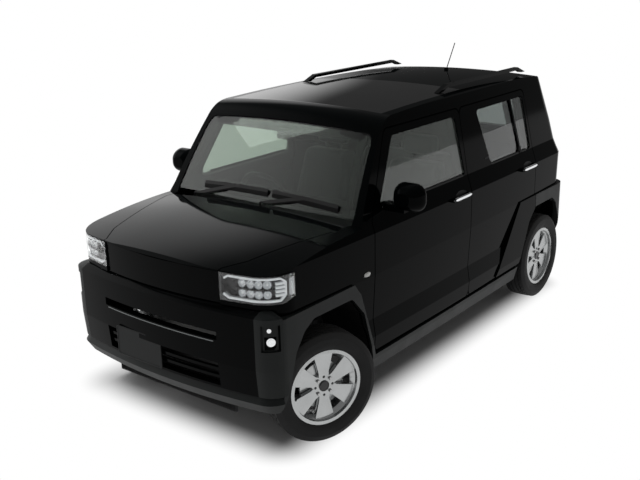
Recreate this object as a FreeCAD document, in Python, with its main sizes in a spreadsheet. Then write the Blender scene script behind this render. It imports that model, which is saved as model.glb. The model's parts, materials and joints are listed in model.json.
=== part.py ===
import FreeCAD, Part
import math
import os
import Sketcher
from FreeCAD import Placement, Rotation, Vector

# A small boxy four-door car of the kei class, in millimetres.
# +X is the front, +Y the car's left, +Z up, and the origin lies on the ground under the middle.
# It is stored as it is parked in the picture: front wheels turned to the car's right.

doc = FreeCAD.newDocument("kei_car")
sheet = doc.addObject("Spreadsheet::Sheet", "sizes")

SIZES = {
    # whole car
    "overall_length": 3395,
    "overall_width": 1475,
    "overall_height": 1630,
    "wheelbase": 2460,
    "front_overhang": 522,
    "front_track": 1300,
    "rear_track": 1295,
    # tyres and rims
    "tyre_radius": 298,
    "tyre_width": 165,
    "tread_width": 132,
    "tyre_facets": 48,
    "shoulder_drop": 9,
    "bead_radius": 192,
    "tyre_wall": 12,
    "rim_lip_radius": 203,
    "rim_width": 127,
    "rim_wall": 7,
    "rim_hub_radius": 66,
    "rim_face_depth": 46,
    "spoke_width": 58,
    "spoke_tip_width": 112,
    "spoke_depth": 22,
    "spoke_hole_width": 15,
    "spoke_hole_length": 24,
    "spoke_hole_radius": 152,
    "spoke_count": 6,
    "lug_circle_radius": 50,
    "lug_hole_radius": 7,
    "lug_count": 4,
    "disc_radius": 125,
    "disc_width": 20,
    "bearing_gap": 1,
    # steering
    "kingpin_offset": 58,
    "rest_steer_angle": 22,
    "knuckle_width": 50,
    "knuckle_radius": 42,
    "stub_radius": 15,
    "strut_radius": 24,
    "strut_offset": 72,
    "strut_height": 410,
    # body skin
    "cladding_proud": 6.5,
    "bumper_lead": 23.5,
    "nose_radius": 2600,
    "tail_radius": 3800,
    "flank_radius": 60000,
    "flank_middle_x": -100,
    "nose_corner_radius": 170,
    "tail_corner_radius": 120,
    "underside_height": 235,
    "sill_height": 345,
    "flare_height": 430,
    "hollow_height": 530,
    "waist_height": 780,
    "crease_height": 1008,
    "belt_height": 1110,
    "middle_glass_height": 1250,
    "drip_height": 1545,
    "rail_height": 1575,
    "roof_edge_height": 1595,
    "sky_height": 1660,
    "underside_tuck": 38,
    "sill_tuck": 8,
    "hollow_tuck": 15,
    "belt_tuck": 34,
    "middle_glass_tuck": 59,
    "drip_tuck": 115,
    "rail_tuck": 132,
    "roof_edge_tuck": 158,
    "sky_tuck": 235,
    "underside_tail": 58,
    "sill_tail": 48,
    "waist_tail": 43,
    "crease_tail": 30,
    "belt_tail": 66,
    "middle_glass_tail": 104,
    "drip_tail": 206,
    "rail_tail": 219,
    "roof_edge_tail": 227,
    "sky_tail": 255,
    # bonnet, windscreen and roof in side view, at the middle of the car
    "crown_radius": 7500,
    "crown_level": 1500,
    "crown_angle": 10,
    "nose_bevel_x": 1652,
    "nose_bevel_height": 1004,
    "nose_bevel_drop": 132,
    "nose_bevel_run": 148,
    "bonnet_middle_x": 1280,
    "bonnet_middle_height": 1064,
    "screen_foot_x": 893,
    "screen_foot_height": 1088,
    "screen_middle_x": 757,
    "screen_middle_height": 1309,
    "screen_top_x": 609,
    "screen_top_height": 1515,
    "header_middle_x": 553,
    "header_middle_height": 1563,
    "roof_front_x": 470,
    "roof_front_height": 1588,
    "roof_middle_x": -400,
    "roof_middle_height": 1606,
    "roof_rear_x": -1300,
    "roof_rear_height": 1588,
    "roof_turn_x": -1430,
    "roof_turn_height": 1566,
    "roof_end_x": -1560,
    "roof_end_height": 1500,
    "behind_x": -1900,
    "behind_height": 1200,
    "ahead_x": 1800,
    "form_floor": 200,
    # panel walls
    "wall": 60,
    "frame_wall": 86,
    "frame_lap": 22,
    "sheet_wall": 12,
    "bonnet_wall": 30,
    "roof_wall": 34,
    "glass_depth": 9,
    "glass_wall": 4.5,
    "shut_gap": 6,
    "seat_gap": 0.3,
    "overrun": 40,
    # doors
    "door_front_x": 800,
    "door_split_x": -219,
    "pillar_rear_x": -330,
    "hinge_pillar_x": 850,
    "door_rear_x": -1132,
    "door_rear_top_x": -1095,
    "door_bottom": 335,
    "door_top": 1503,
    "mirror_foot_height": 1062,
    "pillar_foot_x": 778,
    "pillar_foot_height": 1100,
    "pillar_top_x": 566,
    "door_corner_radius": 45,
    "hinge_leaf_height": 70,
    "hinge_leaf_width": 14,
    "lower_hinge_height": 470,
    "upper_hinge_height": 900,
    "window_corner_radius": 22,
    "front_window_foot_x": 718,
    "front_window_top_x": 504,
    "front_window_rear_top_x": -159,
    "front_window_rear_foot_x": -191,
    "window_foot_height": 1113,
    "window_top_height": 1462,
    "rear_window_front_top_x": -423,
    "rear_window_front_foot_x": -525,
    "rear_window_rear_top_x": -1074,
    "rear_window_rear_foot_x": -1104,
    "divider_top_x": -872,
    "divider_foot_x": -948,
    "divider_width": 22,
    "handle_length": 215,
    "handle_height": 1008,
    "handle_width": 22,
    "handle_proud": 26,
    "handle_wall": 9,
    "front_handle_x": -77,
    "rear_handle_x": -987,
    # mirrors
    "mirror_x": 655,
    "mirror_reach": 95,
    "mirror_foot": 60,
    "mirror_length": 96,
    "mirror_width": 182,
    "mirror_height": 150,
    "mirror_centre_height": 1178,
    "mirror_round": 62,
    # roof and screens
    "roof_half_width": 545,
    "roof_glass_front_x": 478,
    "roof_glass_rear_x": -392,
    "screen_foot_half": 652,
    "screen_top_half": 588,
    "screen_corner_radius": 50,
    "header_front_x": 616,
    "rail_front_x": -165,
    "rail_rear_x": -1330,
    "rail_offset": 502,
    "rail_width": 30,
    "rail_thickness": 20,
    "rail_foot_length": 110,
    "antenna_x": -1148,
    "antenna_length": 215,
    "antenna_radius": 3.2,
    "antenna_foot_radius": 16,
    "antenna_lean_angle": 33,
    # tailgate
    "tailgate_hinge_x": -1402,
    "tailgate_hinge_height": 1538,
    "tailgate_roll_radius": 40,
    "tailgate_pin_radius": 6,
    "tailgate_pin_length": 26,
    "tailgate_bottom": 560,
    "tailgate_foot_half": 560,
    "tailgate_belt_half": 590,
    "tailgate_top_half": 500,
    "tailgate_top": 1570,
    "tailgate_shoulder_height": 1425,
    "tailgate_corner_radius": 60,
    "rear_window_foot_height": 1150,
    "rear_window_top_height": 1475,
    "rear_window_foot_half": 505,
    "rear_window_top_half": 440,
    # bonnet and front face
    "bonnet_rear_x": 948,
    "cowl_rear_x": 862,
    "cowl_front_height": 1034,
    "cowl_bottom": 1000,
    "wiper_x": 864,
    "wiper_pivot_x": 902,
    "wiper_pivot_radius": 7,
    "wiper_width": 10,
    "wiper_height": 9,
    "bonnet_hinge_x": 956,
    "bonnet_hinge_height": 1040,
    "bonnet_pin_radius": 5,
    "bonnet_pin_inner": 600,
    "bonnet_pin_outer": 652,
    "bonnet_ear_inner": 631,
    "bonnet_ear_radius": 14,
    "bonnet_rear_half": 616,
    "bonnet_shoulder_half": 628,
    "bonnet_shoulder_x": 990,
    "bonnet_front_half": 480,
    "bonnet_front_x": 1512,
    "bonnet_lip_half": 411,
    "bonnet_lip_x": 1621,
    "bonnet_lip_height": 988,
    "lamp_inner_half": 411,
    "lamp_top": 986,
    "lamp_bottom": 846,
    "lamp_rear_x": 1441,
    "lamp_rear_low_x": 1508,
    "lamp_rear_low_height": 872,
    "lamp_depth": 75,
    "lamp_proud": 2,
    "face_bottom": 826,
    "face_depth": 10,
    # bumpers
    "bumper_radius": 3700,
    "band_radius": 160000,
    "bumper_corner_radius": 110,
    "bumper_bottom": 392,
    "bumper_foot_bottom": 300,
    "bumper_top": 818,
    "bumper_edge_height": 795,
    "bumper_wall": 42,
    "bumper_rear_x": 1560,
    "bumper_corner_half": 622,
    "lower_opening_top": 530,
    "lower_opening_bottom": 404,
    "lower_opening_half": 405,
    "upper_opening_top": 690,
    "upper_opening_bottom": 648,
    "grille_bar_height": 16,
    "grille_bar_depth": 18,
    "fog_half_width": 34,
    "fog_centre_half": 688,
    "fog_centre_height": 668,
    "small_lamp_height": 749,
    "guard_wall": 30,
    "guard_edge_height": 356,
    "guard_edge_set": 3,
    "guard_top_set": 24,
    "tail_bumper_top": 556,
    "tail_bumper_bottom": 300,
    "tail_bumper_front_x": -1560,
    "tail_lamp_inner_half": 606,
    "tail_lamp_bottom": 885,
    "tail_lamp_top": 1070,
    "tail_lamp_front_x": -1560,
    # wheel arches
    "arch_half": 370,
    "front_arch_top": 720,
    "rear_arch_top": 702,
    "arch_low_height": 330,
    "liner_wall": 7,
    "liner_inner_half": 425,
    "rear_liner_inner_half": 545,
    "arch_band_top": 785,
    "rear_band_front_x": -583,
    "rear_band_front_height": 348,
    "rear_band_top_x": -896,
    "front_band_tail_x": 943,
    "front_band_tail_height": 716,
    "front_band_top_x": 999,
    "sill_trim_top": 331,
    # floor
    "floor_height": 250,
    "floor_wall": 25,
    "tunnel_half": 80,
    "tunnel_height": 120,
    "firewall_x": 880,
    "cargo_floor_height": 560,
    "kick_x": -820,
    # interior
    "dash_rear_x": 560,
    "dash_top": 1040,
    "dash_bottom": 640,
    "dash_slope": 88,
    "dash_half": 608,
    "wheel_grip_radius": 180,
    "grip_radius": 14,
    "column_lean_angle": 24,
    "column_x": 430,
    "column_height": 960,
    "driver_offset": 340,
    "column_length": 200,
    "column_radius": 22,
    "column_cover_radius": 42,
    "column_cover_reach": 60,
    "seat_width": 480,
    "seat_length": 520,
    "seat_cushion_height": 240,
    "seat_plinth_inset": 70,
    "seat_back_height": 600,
    "seat_back_wall": 140,
    "seat_lean": 150,
    "seat_base_height": 330,
    "front_seat_x": 100,
    "front_seat_offset": 338,
    "rear_headrest_offset": 290,
    "rear_seat_width": 1110,
    "rear_seat_back_height": 500,
    "headrest_width": 250,
    "headrest_height": 150,
    "headrest_wall": 90,
    "seat_round": 30,
    # engine bay and underbody
    "engine_length": 420,
    "engine_width": 660,
    "engine_height": 520,
    "engine_x": 1180,
    "engine_bottom": 330,
    "subframe_height": 222,
    "subframe_wall": 36,
    "subframe_length": 330,
    "subframe_half": 389,
    "rail_inner_half": 336,
    "rail_outer_half": 394,
    "front_rail_bottom": 400,
    "front_rail_top": 480,
    "front_rail_end_x": 1590,
    "engine_pad_length": 80,
    "engine_pad_height": 40,
    "arm_radius": 17,
    "axle_beam_radius": 38,
    "axle_hub_radius": 52,
    "axle_hub_width": 40,
    "trailing_arm_offset": 512,
    "trailing_arm_radius": 22,
    "tank_length": 520,
    "tank_width": 640,
    "tank_x": -560,
    "tank_bottom": 205,
    "exhaust_radius": 24,
    "muffler_radius": 82,
    "muffler_length": 420,
    "hanger_radius": 8,
}

for row, (alias, number) in enumerate(SIZES.items(), start=1):
    sheet.set("A%d" % row, alias)
    sheet.set("B%d" % row, str(number))
    sheet.setAlias("B%d" % row, alias)
doc.recompute()


class Plain:
    """Numbers read from the sheet."""

    def __getattr__(self, alias):
        return float(sheet.get(alias))


class Size:
    """A number together with the sheet expression that it comes from."""

    def __init__(self, number, text):
        self.number = number
        self.text = text

    def __add__(self, other):
        other = sized(other)
        return Size(self.number + other.number, "(%s + %s)" % (self.text, other.text))

    def __sub__(self, other):
        other = sized(other)
        return Size(self.number - other.number, "(%s - %s)" % (self.text, other.text))

    def __mul__(self, other):
        other = sized(other)
        return Size(self.number * other.number, "(%s * %s)" % (self.text, other.text))

    def __truediv__(self, other):
        other = sized(other)
        return Size(self.number / other.number, "(%s / %s)" % (self.text, other.text))

    def __neg__(self):
        return Size(-self.number, "(0 - %s)" % self.text)


def sized(value):
    return value if isinstance(value, Size) else Size(value, str(value))


class Bound:
    """Sizes that keep their tie to the sheet."""

    def __getattr__(self, alias):
        return Size(float(sheet.get(alias)), "sizes." + alias)


n = Plain()
b = Bound()
ZERO = Size(0, "0")
PARTS = []

# places that follow from the driving sizes
nose_x = n.overall_length / 2
tail_x = -n.overall_length / 2
front_axle_x = nose_x - n.front_overhang
rear_axle_x = front_axle_x - n.wheelbase
half_width = n.overall_width / 2
skin_half = half_width - n.cladding_proud
far = n.overall_length


# Part::Feature helpers: outlines, slabs and panels

def keep(shape, label):
    """Add a finished sub-part whose shape was made from the sheet's sizes."""
    piece = doc.addObject("Part::Feature", label)
    piece.Label = label
    solids = shape.Solids
    piece.Shape = solids[0] if len(solids) == 1 else Part.makeCompound(solids)
    PARTS.append(piece)
    return piece


coincidence = 1e-6


def rounded_wire(points, radii, place):
    """Closed outline through points with rounded corners; place maps (u, v) to a point."""
    if not isinstance(radii, (list, tuple)):
        radii = [radii] * len(points)
    starts, middles, ends = [], [], []
    for i, corner in enumerate(points):
        before, after = points[i - 1], points[(i + 1) % len(points)]
        u = (before[0] - corner[0], before[1] - corner[1])
        v = (after[0] - corner[0], after[1] - corner[1])
        u_length, v_length = math.hypot(*u), math.hypot(*v)
        u = (u[0] / u_length, u[1] / u_length)
        v = (v[0] / v_length, v[1] / v_length)
        cosine = max(-1, min(1, u[0] * v[0] + u[1] * v[1]))
        half = math.acos(cosine) / 2
        if radii[i] <= 0 or half > math.radians(88):
            starts.append(corner)
            middles.append(None)
            ends.append(corner)
            continue
        reach = min(radii[i] / math.tan(half), u_length / 2, v_length / 2)
        radius = reach * math.tan(half)
        bisector = (u[0] + v[0], u[1] + v[1])
        size = math.hypot(*bisector)
        inward = radius / math.sin(half) - radius
        starts.append((corner[0] + u[0] * reach, corner[1] + u[1] * reach))
        ends.append((corner[0] + v[0] * reach, corner[1] + v[1] * reach))
        middles.append((corner[0] + bisector[0] / size * inward, corner[1] + bisector[1] / size * inward))
    edges = []
    for i in range(len(points)):
        if middles[i]:
            edges.append(Part.Arc(place(*starts[i]), place(*middles[i]), place(*ends[i])).toShape())
        start, end = place(*ends[i]), place(*starts[(i + 1) % len(points)])
        if start.distanceToPoint(end) > coincidence:
            edges.append(Part.LineSegment(start, end).toShape())
    return Part.Wire(edges)


def slab_y(points, y_from, y_to, radii=0):
    """Outline in side view, extruded across the car."""
    wire = rounded_wire(points, radii, lambda x, z: Vector(x, y_from, z))
    return Part.Face(wire).extrude(Vector(0, y_to - y_from, 0))


def slab_z(points, z_from, z_to, radii=0):
    """Outline in plan view, extruded upwards."""
    wire = rounded_wire(points, radii, lambda x, y: Vector(x, y, z_from))
    return Part.Face(wire).extrude(Vector(0, 0, z_to - z_from))


def slab_x(points, x_from, x_to, radii=0):
    """Outline in front view, extruded along the car."""
    wire = rounded_wire(points, radii, lambda y, z: Vector(x_from, y, z))
    return Part.Face(wire).extrude(Vector(x_to - x_from, 0, 0))


def box(x_from, x_to, y_from, y_to, z_from, z_to):
    corner = Vector(x_from, y_from, z_from)
    return Part.makeBox(x_to - x_from, y_to - y_from, z_to - z_from, corner)


def grown(points, margin):
    """The same outline moved outwards by margin (points run either way round)."""
    area = sum(points[i - 1][0] * points[i][1] - points[i][0] * points[i - 1][1] for i in range(len(points)))
    sign = 1 if area > 0 else -1
    moved = []
    for i, corner in enumerate(points):
        before, after = points[i - 1], points[(i + 1) % len(points)]
        normals = []
        for start, end in ((before, corner), (corner, after)):
            length = math.hypot(end[0] - start[0], end[1] - start[1])
            normals.append(((end[1] - start[1]) / length * sign, -(end[0] - start[0]) / length * sign))
        total = (normals[0][0] + normals[1][0], normals[0][1] + normals[1][1])
        scale = 2 / (total[0] ** 2 + total[1] ** 2) * margin
        moved.append((corner[0] + total[0] * scale, corner[1] + total[1] * scale))
    return moved


def mirrored(shape):
    return shape.mirror(Vector(0, 0, 0), Vector(0, 1, 0))


def both(shape):
    return Part.makeCompound(shape.Solids + mirrored(shape).Solids)


# The body's outer form: plan outlines stacked in height, under the line of bonnet, screen and roof

def circles_meet(first, first_radius, second, second_radius, near):
    dx, dy = second[0] - first[0], second[1] - first[1]
    span = math.hypot(dx, dy)
    along = (first_radius ** 2 - second_radius ** 2 + span ** 2) / (2 * span)
    aside = math.sqrt(first_radius ** 2 - along ** 2)
    foot = (first[0] + along * dx / span, first[1] + along * dy / span)
    choices = [(foot[0] + side * aside * dy / span, foot[1] - side * aside * dx / span) for side in (1, -1)]
    return min(choices, key=lambda p: math.hypot(p[0] - near[0], p[1] - near[1]))


def on_circle(centre, towards, radius):
    length = math.hypot(towards[0] - centre[0], towards[1] - centre[1])
    return tuple(centre[k] + (towards[k] - centre[k]) * radius / length for k in (0, 1))


def plan_outline(height, half, front, rear, inset, radii):
    """Plan outline at one height: curved nose, flanks and tail joined by tangent corner arcs."""
    nose_radius, flank_radius, tail_radius, nose_corner, tail_corner = radii
    nose = (front - nose_radius, 0)
    tail = (rear + tail_radius, 0)
    flank = (n.flank_middle_x, half - flank_radius)
    front_corner = circles_meet(nose, nose_radius - nose_corner, flank, flank_radius - nose_corner,
                                (front, half))
    rear_corner = circles_meet(tail, tail_radius - tail_corner, flank, flank_radius - tail_corner,
                               (rear, half))
    nose_end = on_circle(nose, front_corner, nose_radius - inset)
    flank_start = on_circle(flank, front_corner, flank_radius - inset)
    flank_end = on_circle(flank, rear_corner, flank_radius - inset)
    tail_start = on_circle(tail, rear_corner, tail_radius - inset)

    def between(centre, start, end, radius):
        return on_circle(centre, ((start[0] + end[0]) / 2, (start[1] + end[1]) / 2), radius)

    left = [
        (nose_end, between(front_corner, nose_end, flank_start, nose_corner - inset), flank_start),
        (flank_start, between(flank, flank_start, flank_end, flank_radius - inset), flank_end),
        (flank_end, between(rear_corner, flank_end, tail_start, tail_corner - inset), tail_start),
    ]
    right = [tuple((p[0], -p[1]) for p in reversed(arc)) for arc in reversed(left)]
    bow = [(right[-1][-1], (front - inset, 0), left[0][0])]
    stern = [(left[-1][-1], (rear + inset, 0), right[0][0])]
    edges = []
    for arc in bow + left + stern + right:
        edges.append(Part.Arc(*[Vector(p[0], p[1], height) for p in arc]).toShape())
    return Part.Wire(edges)


body_front_x = nose_x - n.bumper_lead
BODY_LEVELS = [
    (n.underside_height, skin_half - n.underside_tuck, tail_x + n.underside_tail),
    (n.sill_height, skin_half - n.sill_tuck, tail_x + n.sill_tail),
    (n.flare_height, skin_half, tail_x + n.sill_tail),
    (n.hollow_height, skin_half - n.hollow_tuck, tail_x + n.waist_tail),
    (n.waist_height, skin_half, tail_x + n.waist_tail),
    (n.crease_height, skin_half, tail_x + n.crease_tail),
    (n.belt_height, skin_half - n.belt_tuck, tail_x + n.belt_tail),
    (n.middle_glass_height, skin_half - n.middle_glass_tuck, tail_x + n.middle_glass_tail),
    (n.drip_height, skin_half - n.drip_tuck, tail_x + n.drip_tail),
    (n.rail_height, skin_half - n.rail_tuck, tail_x + n.rail_tail),
    (n.roof_edge_height, skin_half - n.roof_edge_tuck, tail_x + n.roof_edge_tail),
    (n.sky_height, skin_half - n.sky_tuck, tail_x + n.sky_tail),
]
BODY_RADII = (n.nose_radius, n.flank_radius, n.tail_radius, n.nose_corner_radius, n.tail_corner_radius)


def top_form(inset):
    """Everything under the line of bonnet, windscreen and roof, crowned across the car."""
    low = n.form_floor - n.frame_wall
    line = [
        (n.ahead_x, low),
        (n.nose_bevel_x + n.nose_bevel_run, n.nose_bevel_height - n.nose_bevel_drop),
        (n.nose_bevel_x, n.nose_bevel_height),
        (n.bonnet_middle_x, n.bonnet_middle_height),
        (n.screen_foot_x, n.screen_foot_height),
        (n.screen_middle_x, n.screen_middle_height),
        (n.screen_top_x, n.screen_top_height),
        (n.header_middle_x, n.header_middle_height),
        (n.roof_front_x, n.roof_front_height),
        (n.roof_middle_x, n.roof_middle_height),
        (n.roof_rear_x, n.roof_rear_height),
        (n.roof_turn_x, n.roof_turn_height),
        (n.roof_end_x, n.roof_end_height),
        (n.behind_x, n.behind_height),
        (n.behind_x, low),
    ]
    arc_starts = (2, 4, 6, 8, 10)
    points = [Vector(x, 0, z) for x, z in grown(line, -inset)]
    edges = []
    i = 0
    while i < len(points):
        if i in arc_starts:
            edges.append(Part.Arc(points[i], points[i + 1], points[i + 2]).toShape())
            i += 2
        else:
            edges.append(Part.LineSegment(points[i], points[(i + 1) % len(points)]).toShape())
            i += 1
    face = Part.Face(Part.Wire(edges))
    pivot = Vector(0, 0, n.crown_level - n.crown_radius)
    face.rotate(pivot, Vector(1, 0, 0), -n.crown_angle)
    return face.revolve(pivot, Vector(1, 0, 0), 2 * n.crown_angle)


def crowned(points):
    """Outline in side view, swept across the car with the crown of the bonnet and roof."""
    face = Part.Face(Part.makePolygon([Vector(x, 0, z) for x, z in points + points[:1]]))
    pivot = Vector(0, 0, n.crown_level - n.crown_radius)
    face.rotate(pivot, Vector(1, 0, 0), -n.crown_angle)
    return face.revolve(pivot, Vector(1, 0, 0), 2 * n.crown_angle)


FORMS = {}


def form(inset):
    """The closed body form, with every face moved inwards by inset."""
    if inset not in FORMS:
        outlines = []
        for height, half, rear in BODY_LEVELS:
            outlines.append(plan_outline(height, half, body_front_x, rear, inset, BODY_RADII))
        stack = Part.makeLoft(outlines, True, True)
        FORMS[inset] = stack.common(top_form(inset))
    return FORMS[inset]


def panel(region, depth_from, depth_to):
    """The part of the skin between two depths that lies in a region."""
    return form(depth_from).common(region).cut(form(depth_to))


# The form of bumpers, arch bands and sill trims, a little wider and longer than the skin
BUMPER_RADII = (n.bumper_radius, n.band_radius, n.tail_radius, n.bumper_corner_radius, n.tail_corner_radius)
BUMPER_LEVELS = [
    (n.form_floor, half_width - n.underside_tuck, nose_x - n.bumper_wall, tail_x + n.bumper_wall),
    (n.bumper_foot_bottom, half_width - n.sheet_wall, nose_x - n.underside_tuck, tail_x + n.underside_tuck),
    (n.bumper_bottom, half_width - n.seat_gap, nose_x - n.sheet_wall, tail_x + n.sheet_wall),
    (n.lower_opening_top, half_width, nose_x, tail_x),
    (n.bumper_edge_height, half_width, nose_x, tail_x),
    (n.bumper_top, half_width - n.bumper_wall, nose_x - n.bumper_wall, tail_x + n.bumper_wall),
]


def stacked(levels, inset):
    """The form of bumpers or guard between its stacked outlines, moved inwards by inset."""
    outlines = []
    for height, half, front, rear in levels:
        outlines.append(plan_outline(height, half, front, rear, inset, BUMPER_RADII))
    return Part.makeLoft(outlines, True, True)


def bumper_form(inset):
    return stacked(BUMPER_LEVELS, inset)


# The skid guard stands a little proud of the bumper's foot, with a bevel above and below its edge
GUARD_LEVELS = [
    (n.form_floor, half_width - n.underside_tuck, nose_x - n.bumper_wall, tail_x + n.bumper_wall),
    (n.bumper_foot_bottom, half_width - n.sheet_wall, nose_x - n.underside_tuck, tail_x + n.underside_tuck),
    (n.guard_edge_height, half_width, nose_x - n.guard_edge_set, tail_x + n.guard_edge_set),
    (n.bumper_bottom, half_width - n.sheet_wall, nose_x - n.guard_top_set, tail_x + n.guard_top_set),
]


def guard_form(inset):
    return stacked(GUARD_LEVELS, inset)


# Outlines that neighbouring panels share, in side view (x, z) unless said otherwise

gap = n.shut_gap
front_door_outline = [
    (n.door_front_x, n.door_bottom),
    (n.door_front_x, n.mirror_foot_height),
    (n.pillar_foot_x, n.pillar_foot_height),
    (n.pillar_top_x, n.door_top),
    (n.door_split_x + gap / 2, n.door_top),
    (n.door_split_x + gap / 2, n.door_bottom),
]
rear_door_outline = [
    (n.door_split_x - gap / 2, n.door_bottom),
    (n.door_split_x - gap / 2, n.door_top),
    (n.door_rear_top_x, n.door_top),
    (n.door_rear_x, n.window_foot_height),
    (n.door_rear_x, n.door_bottom),
]
front_window_outline = [
    (n.front_window_foot_x, n.window_foot_height),
    (n.front_window_top_x, n.window_top_height),
    (n.front_window_rear_top_x, n.window_top_height),
    (n.front_window_rear_foot_x, n.window_foot_height),
]
rear_window_outline = [
    (n.rear_window_front_foot_x, n.window_foot_height),
    (n.rear_window_front_top_x, n.window_top_height),
    (n.rear_window_rear_top_x, n.window_top_height),
    (n.rear_window_rear_foot_x, n.window_foot_height),
]
# heights of the arch openings as shares of their half width and height above the axle
FRONT_ARCH_SHARES = [
    (-0.95, 0), (-0.93, 0.08), (-0.7, 0.72), (-0.42, 0.99), (0.42, 1), (0.62, 0.9), (0.8, 0.69), (1.04, 0),
]
REAR_ARCH_SHARES = [
    (-0.87, 0), (-0.85, 0.3), (-0.53, 0.89), (-0.36, 1), (0.38, 1), (0.64, 0.79), (1.0, 0.09), (1.04, 0),
]


def arch_outline(axle_x, top, shares):
    """Wheel opening in side view, closed below the sills."""
    axle = n.tyre_radius
    points = [(axle_x + u * n.arch_half, axle + v * (top - axle)) for u, v in shares]
    bottom = n.underside_height - n.overrun
    return [(points[0][0], bottom)] + points + [(points[-1][0], bottom)]


front_arch = arch_outline(front_axle_x, n.front_arch_top, FRONT_ARCH_SHARES)
rear_arch = arch_outline(rear_axle_x, n.rear_arch_top, REAR_ARCH_SHARES)

# tailgate and its window in rear view (y, z); bonnet and windscreen in plan (x, y)
tailgate_outline = [
    (n.tailgate_foot_half, n.tailgate_bottom),
    (n.tailgate_belt_half, n.crease_height),
    (n.tailgate_top_half, n.tailgate_shoulder_height),
    (n.tailgate_top_half, n.tailgate_top),
    (n.tailgate_top_half, n.sky_height),
    (-n.tailgate_top_half, n.sky_height),
    (-n.tailgate_top_half, n.tailgate_top),
    (-n.tailgate_top_half, n.tailgate_shoulder_height),
    (-n.tailgate_belt_half, n.crease_height),
    (-n.tailgate_foot_half, n.tailgate_bottom),
]
tailgate_window_outline = [
    (n.rear_window_foot_half, n.rear_window_foot_height),
    (n.rear_window_top_half, n.rear_window_top_height),
    (-n.rear_window_top_half, n.rear_window_top_height),
    (-n.rear_window_foot_half, n.rear_window_foot_height),
]
bonnet_left = [
    (n.bonnet_rear_x, n.bonnet_rear_half),
    (n.bonnet_shoulder_x, n.bonnet_shoulder_half),
    (n.bonnet_front_x, n.bonnet_front_half),
    (n.bonnet_lip_x, n.bonnet_lip_half),
    (n.ahead_x, n.bonnet_lip_half),
]
bonnet_outline = bonnet_left + [(x, -y) for x, y in reversed(bonnet_left)]
screen_outline = [
    (n.screen_foot_x + n.overrun, n.screen_foot_half),
    (n.header_front_x, n.screen_top_half),
    (n.header_front_x, -n.screen_top_half),
    (n.screen_foot_x + n.overrun, -n.screen_foot_half),
]


# Cutters


def tailgate_roll(radius, half):
    """Round bar along the hinge line of the tailgate."""
    start = Vector(n.tailgate_hinge_x, -half, n.tailgate_hinge_height)
    return Part.makeCylinder(radius, 2 * half, start, Vector(0, 1, 0))


tailgate_hole = slab_x(grown(tailgate_outline, gap), n.behind_x, n.tailgate_hinge_x, n.tailgate_corner_radius)
tailgate_hole = tailgate_hole.fuse(tailgate_roll(n.tailgate_roll_radius + gap, n.tailgate_top_half + gap * 2))
tailgate_zone = slab_x(tailgate_outline, n.behind_x, n.tailgate_hinge_x, n.tailgate_corner_radius)
tailgate_zone = tailgate_zone.fuse(tailgate_roll(n.tailgate_roll_radius, n.tailgate_top_half + gap))
roof_rear_x = n.tailgate_hinge_x + n.tailgate_roll_radius + gap
tailgate_pin_half = n.tailgate_top_half + n.tailgate_pin_length
bonnet_zone = slab_z(bonnet_outline, n.bonnet_lip_height, n.drip_height)
bonnet_hole = slab_z(grown(bonnet_outline, gap), n.bonnet_lip_height - gap, n.drip_height)
screen_zone = slab_z(screen_outline, n.crease_height, n.sky_height, n.screen_corner_radius)
screen_hole = slab_z(grown(screen_outline, n.seat_gap), n.crease_height, n.sky_height, n.screen_corner_radius)
front_arch_hole = slab_y(front_arch, -far, far, n.door_corner_radius)
rear_arch_hole = slab_y(rear_arch, -far, far, n.door_corner_radius)
front_arch_wide = slab_y(grown(front_arch, n.liner_wall + n.seat_gap), -far, far, n.door_corner_radius)
rear_arch_wide = slab_y(grown(rear_arch, n.liner_wall + n.seat_gap), -far, far, n.door_corner_radius)
# the ways through the body side that the doors close, smaller than the doors by the lap of the door seal
front_way = grown(front_door_outline, -n.frame_lap)
rear_way = [(min(x, n.pillar_rear_x), z) for x, z in grown(rear_door_outline, -n.frame_lap)]
door_ways = [
    slab_y(front_way, 0, far, n.door_corner_radius).cut(front_arch_wide),
    slab_y(rear_way, 0, far, n.door_corner_radius).cut(slab_y(grown(rear_arch, n.frame_lap), 0, far)),
]
doors_hole = [
    slab_y(grown(front_door_outline, gap), 0, far, n.door_corner_radius),
    slab_y(grown(rear_door_outline, gap), 0, far, n.door_corner_radius),
]
lamp_outline = [
    (n.ahead_x, n.lamp_top),
    (n.lamp_rear_x, n.lamp_top),
    (n.lamp_rear_x, n.lamp_rear_low_height),
    (n.lamp_rear_low_x, n.lamp_bottom),
    (n.ahead_x, n.lamp_bottom),
]
lamp_zone = slab_y(lamp_outline, n.lamp_inner_half, far)
lamp_hole = slab_y(grown(lamp_outline, n.seat_gap), n.lamp_inner_half - n.seat_gap, far)
tail_lamp_zone = box(-far, n.tail_lamp_front_x, n.tail_lamp_inner_half, far, n.tail_lamp_bottom, n.tail_lamp_top)
tail_lamp_hole = box(-far, n.tail_lamp_front_x + n.seat_gap, n.tail_lamp_inner_half - n.seat_gap, far,
                     n.tail_lamp_bottom - n.seat_gap, n.tail_lamp_top + n.seat_gap)

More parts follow.
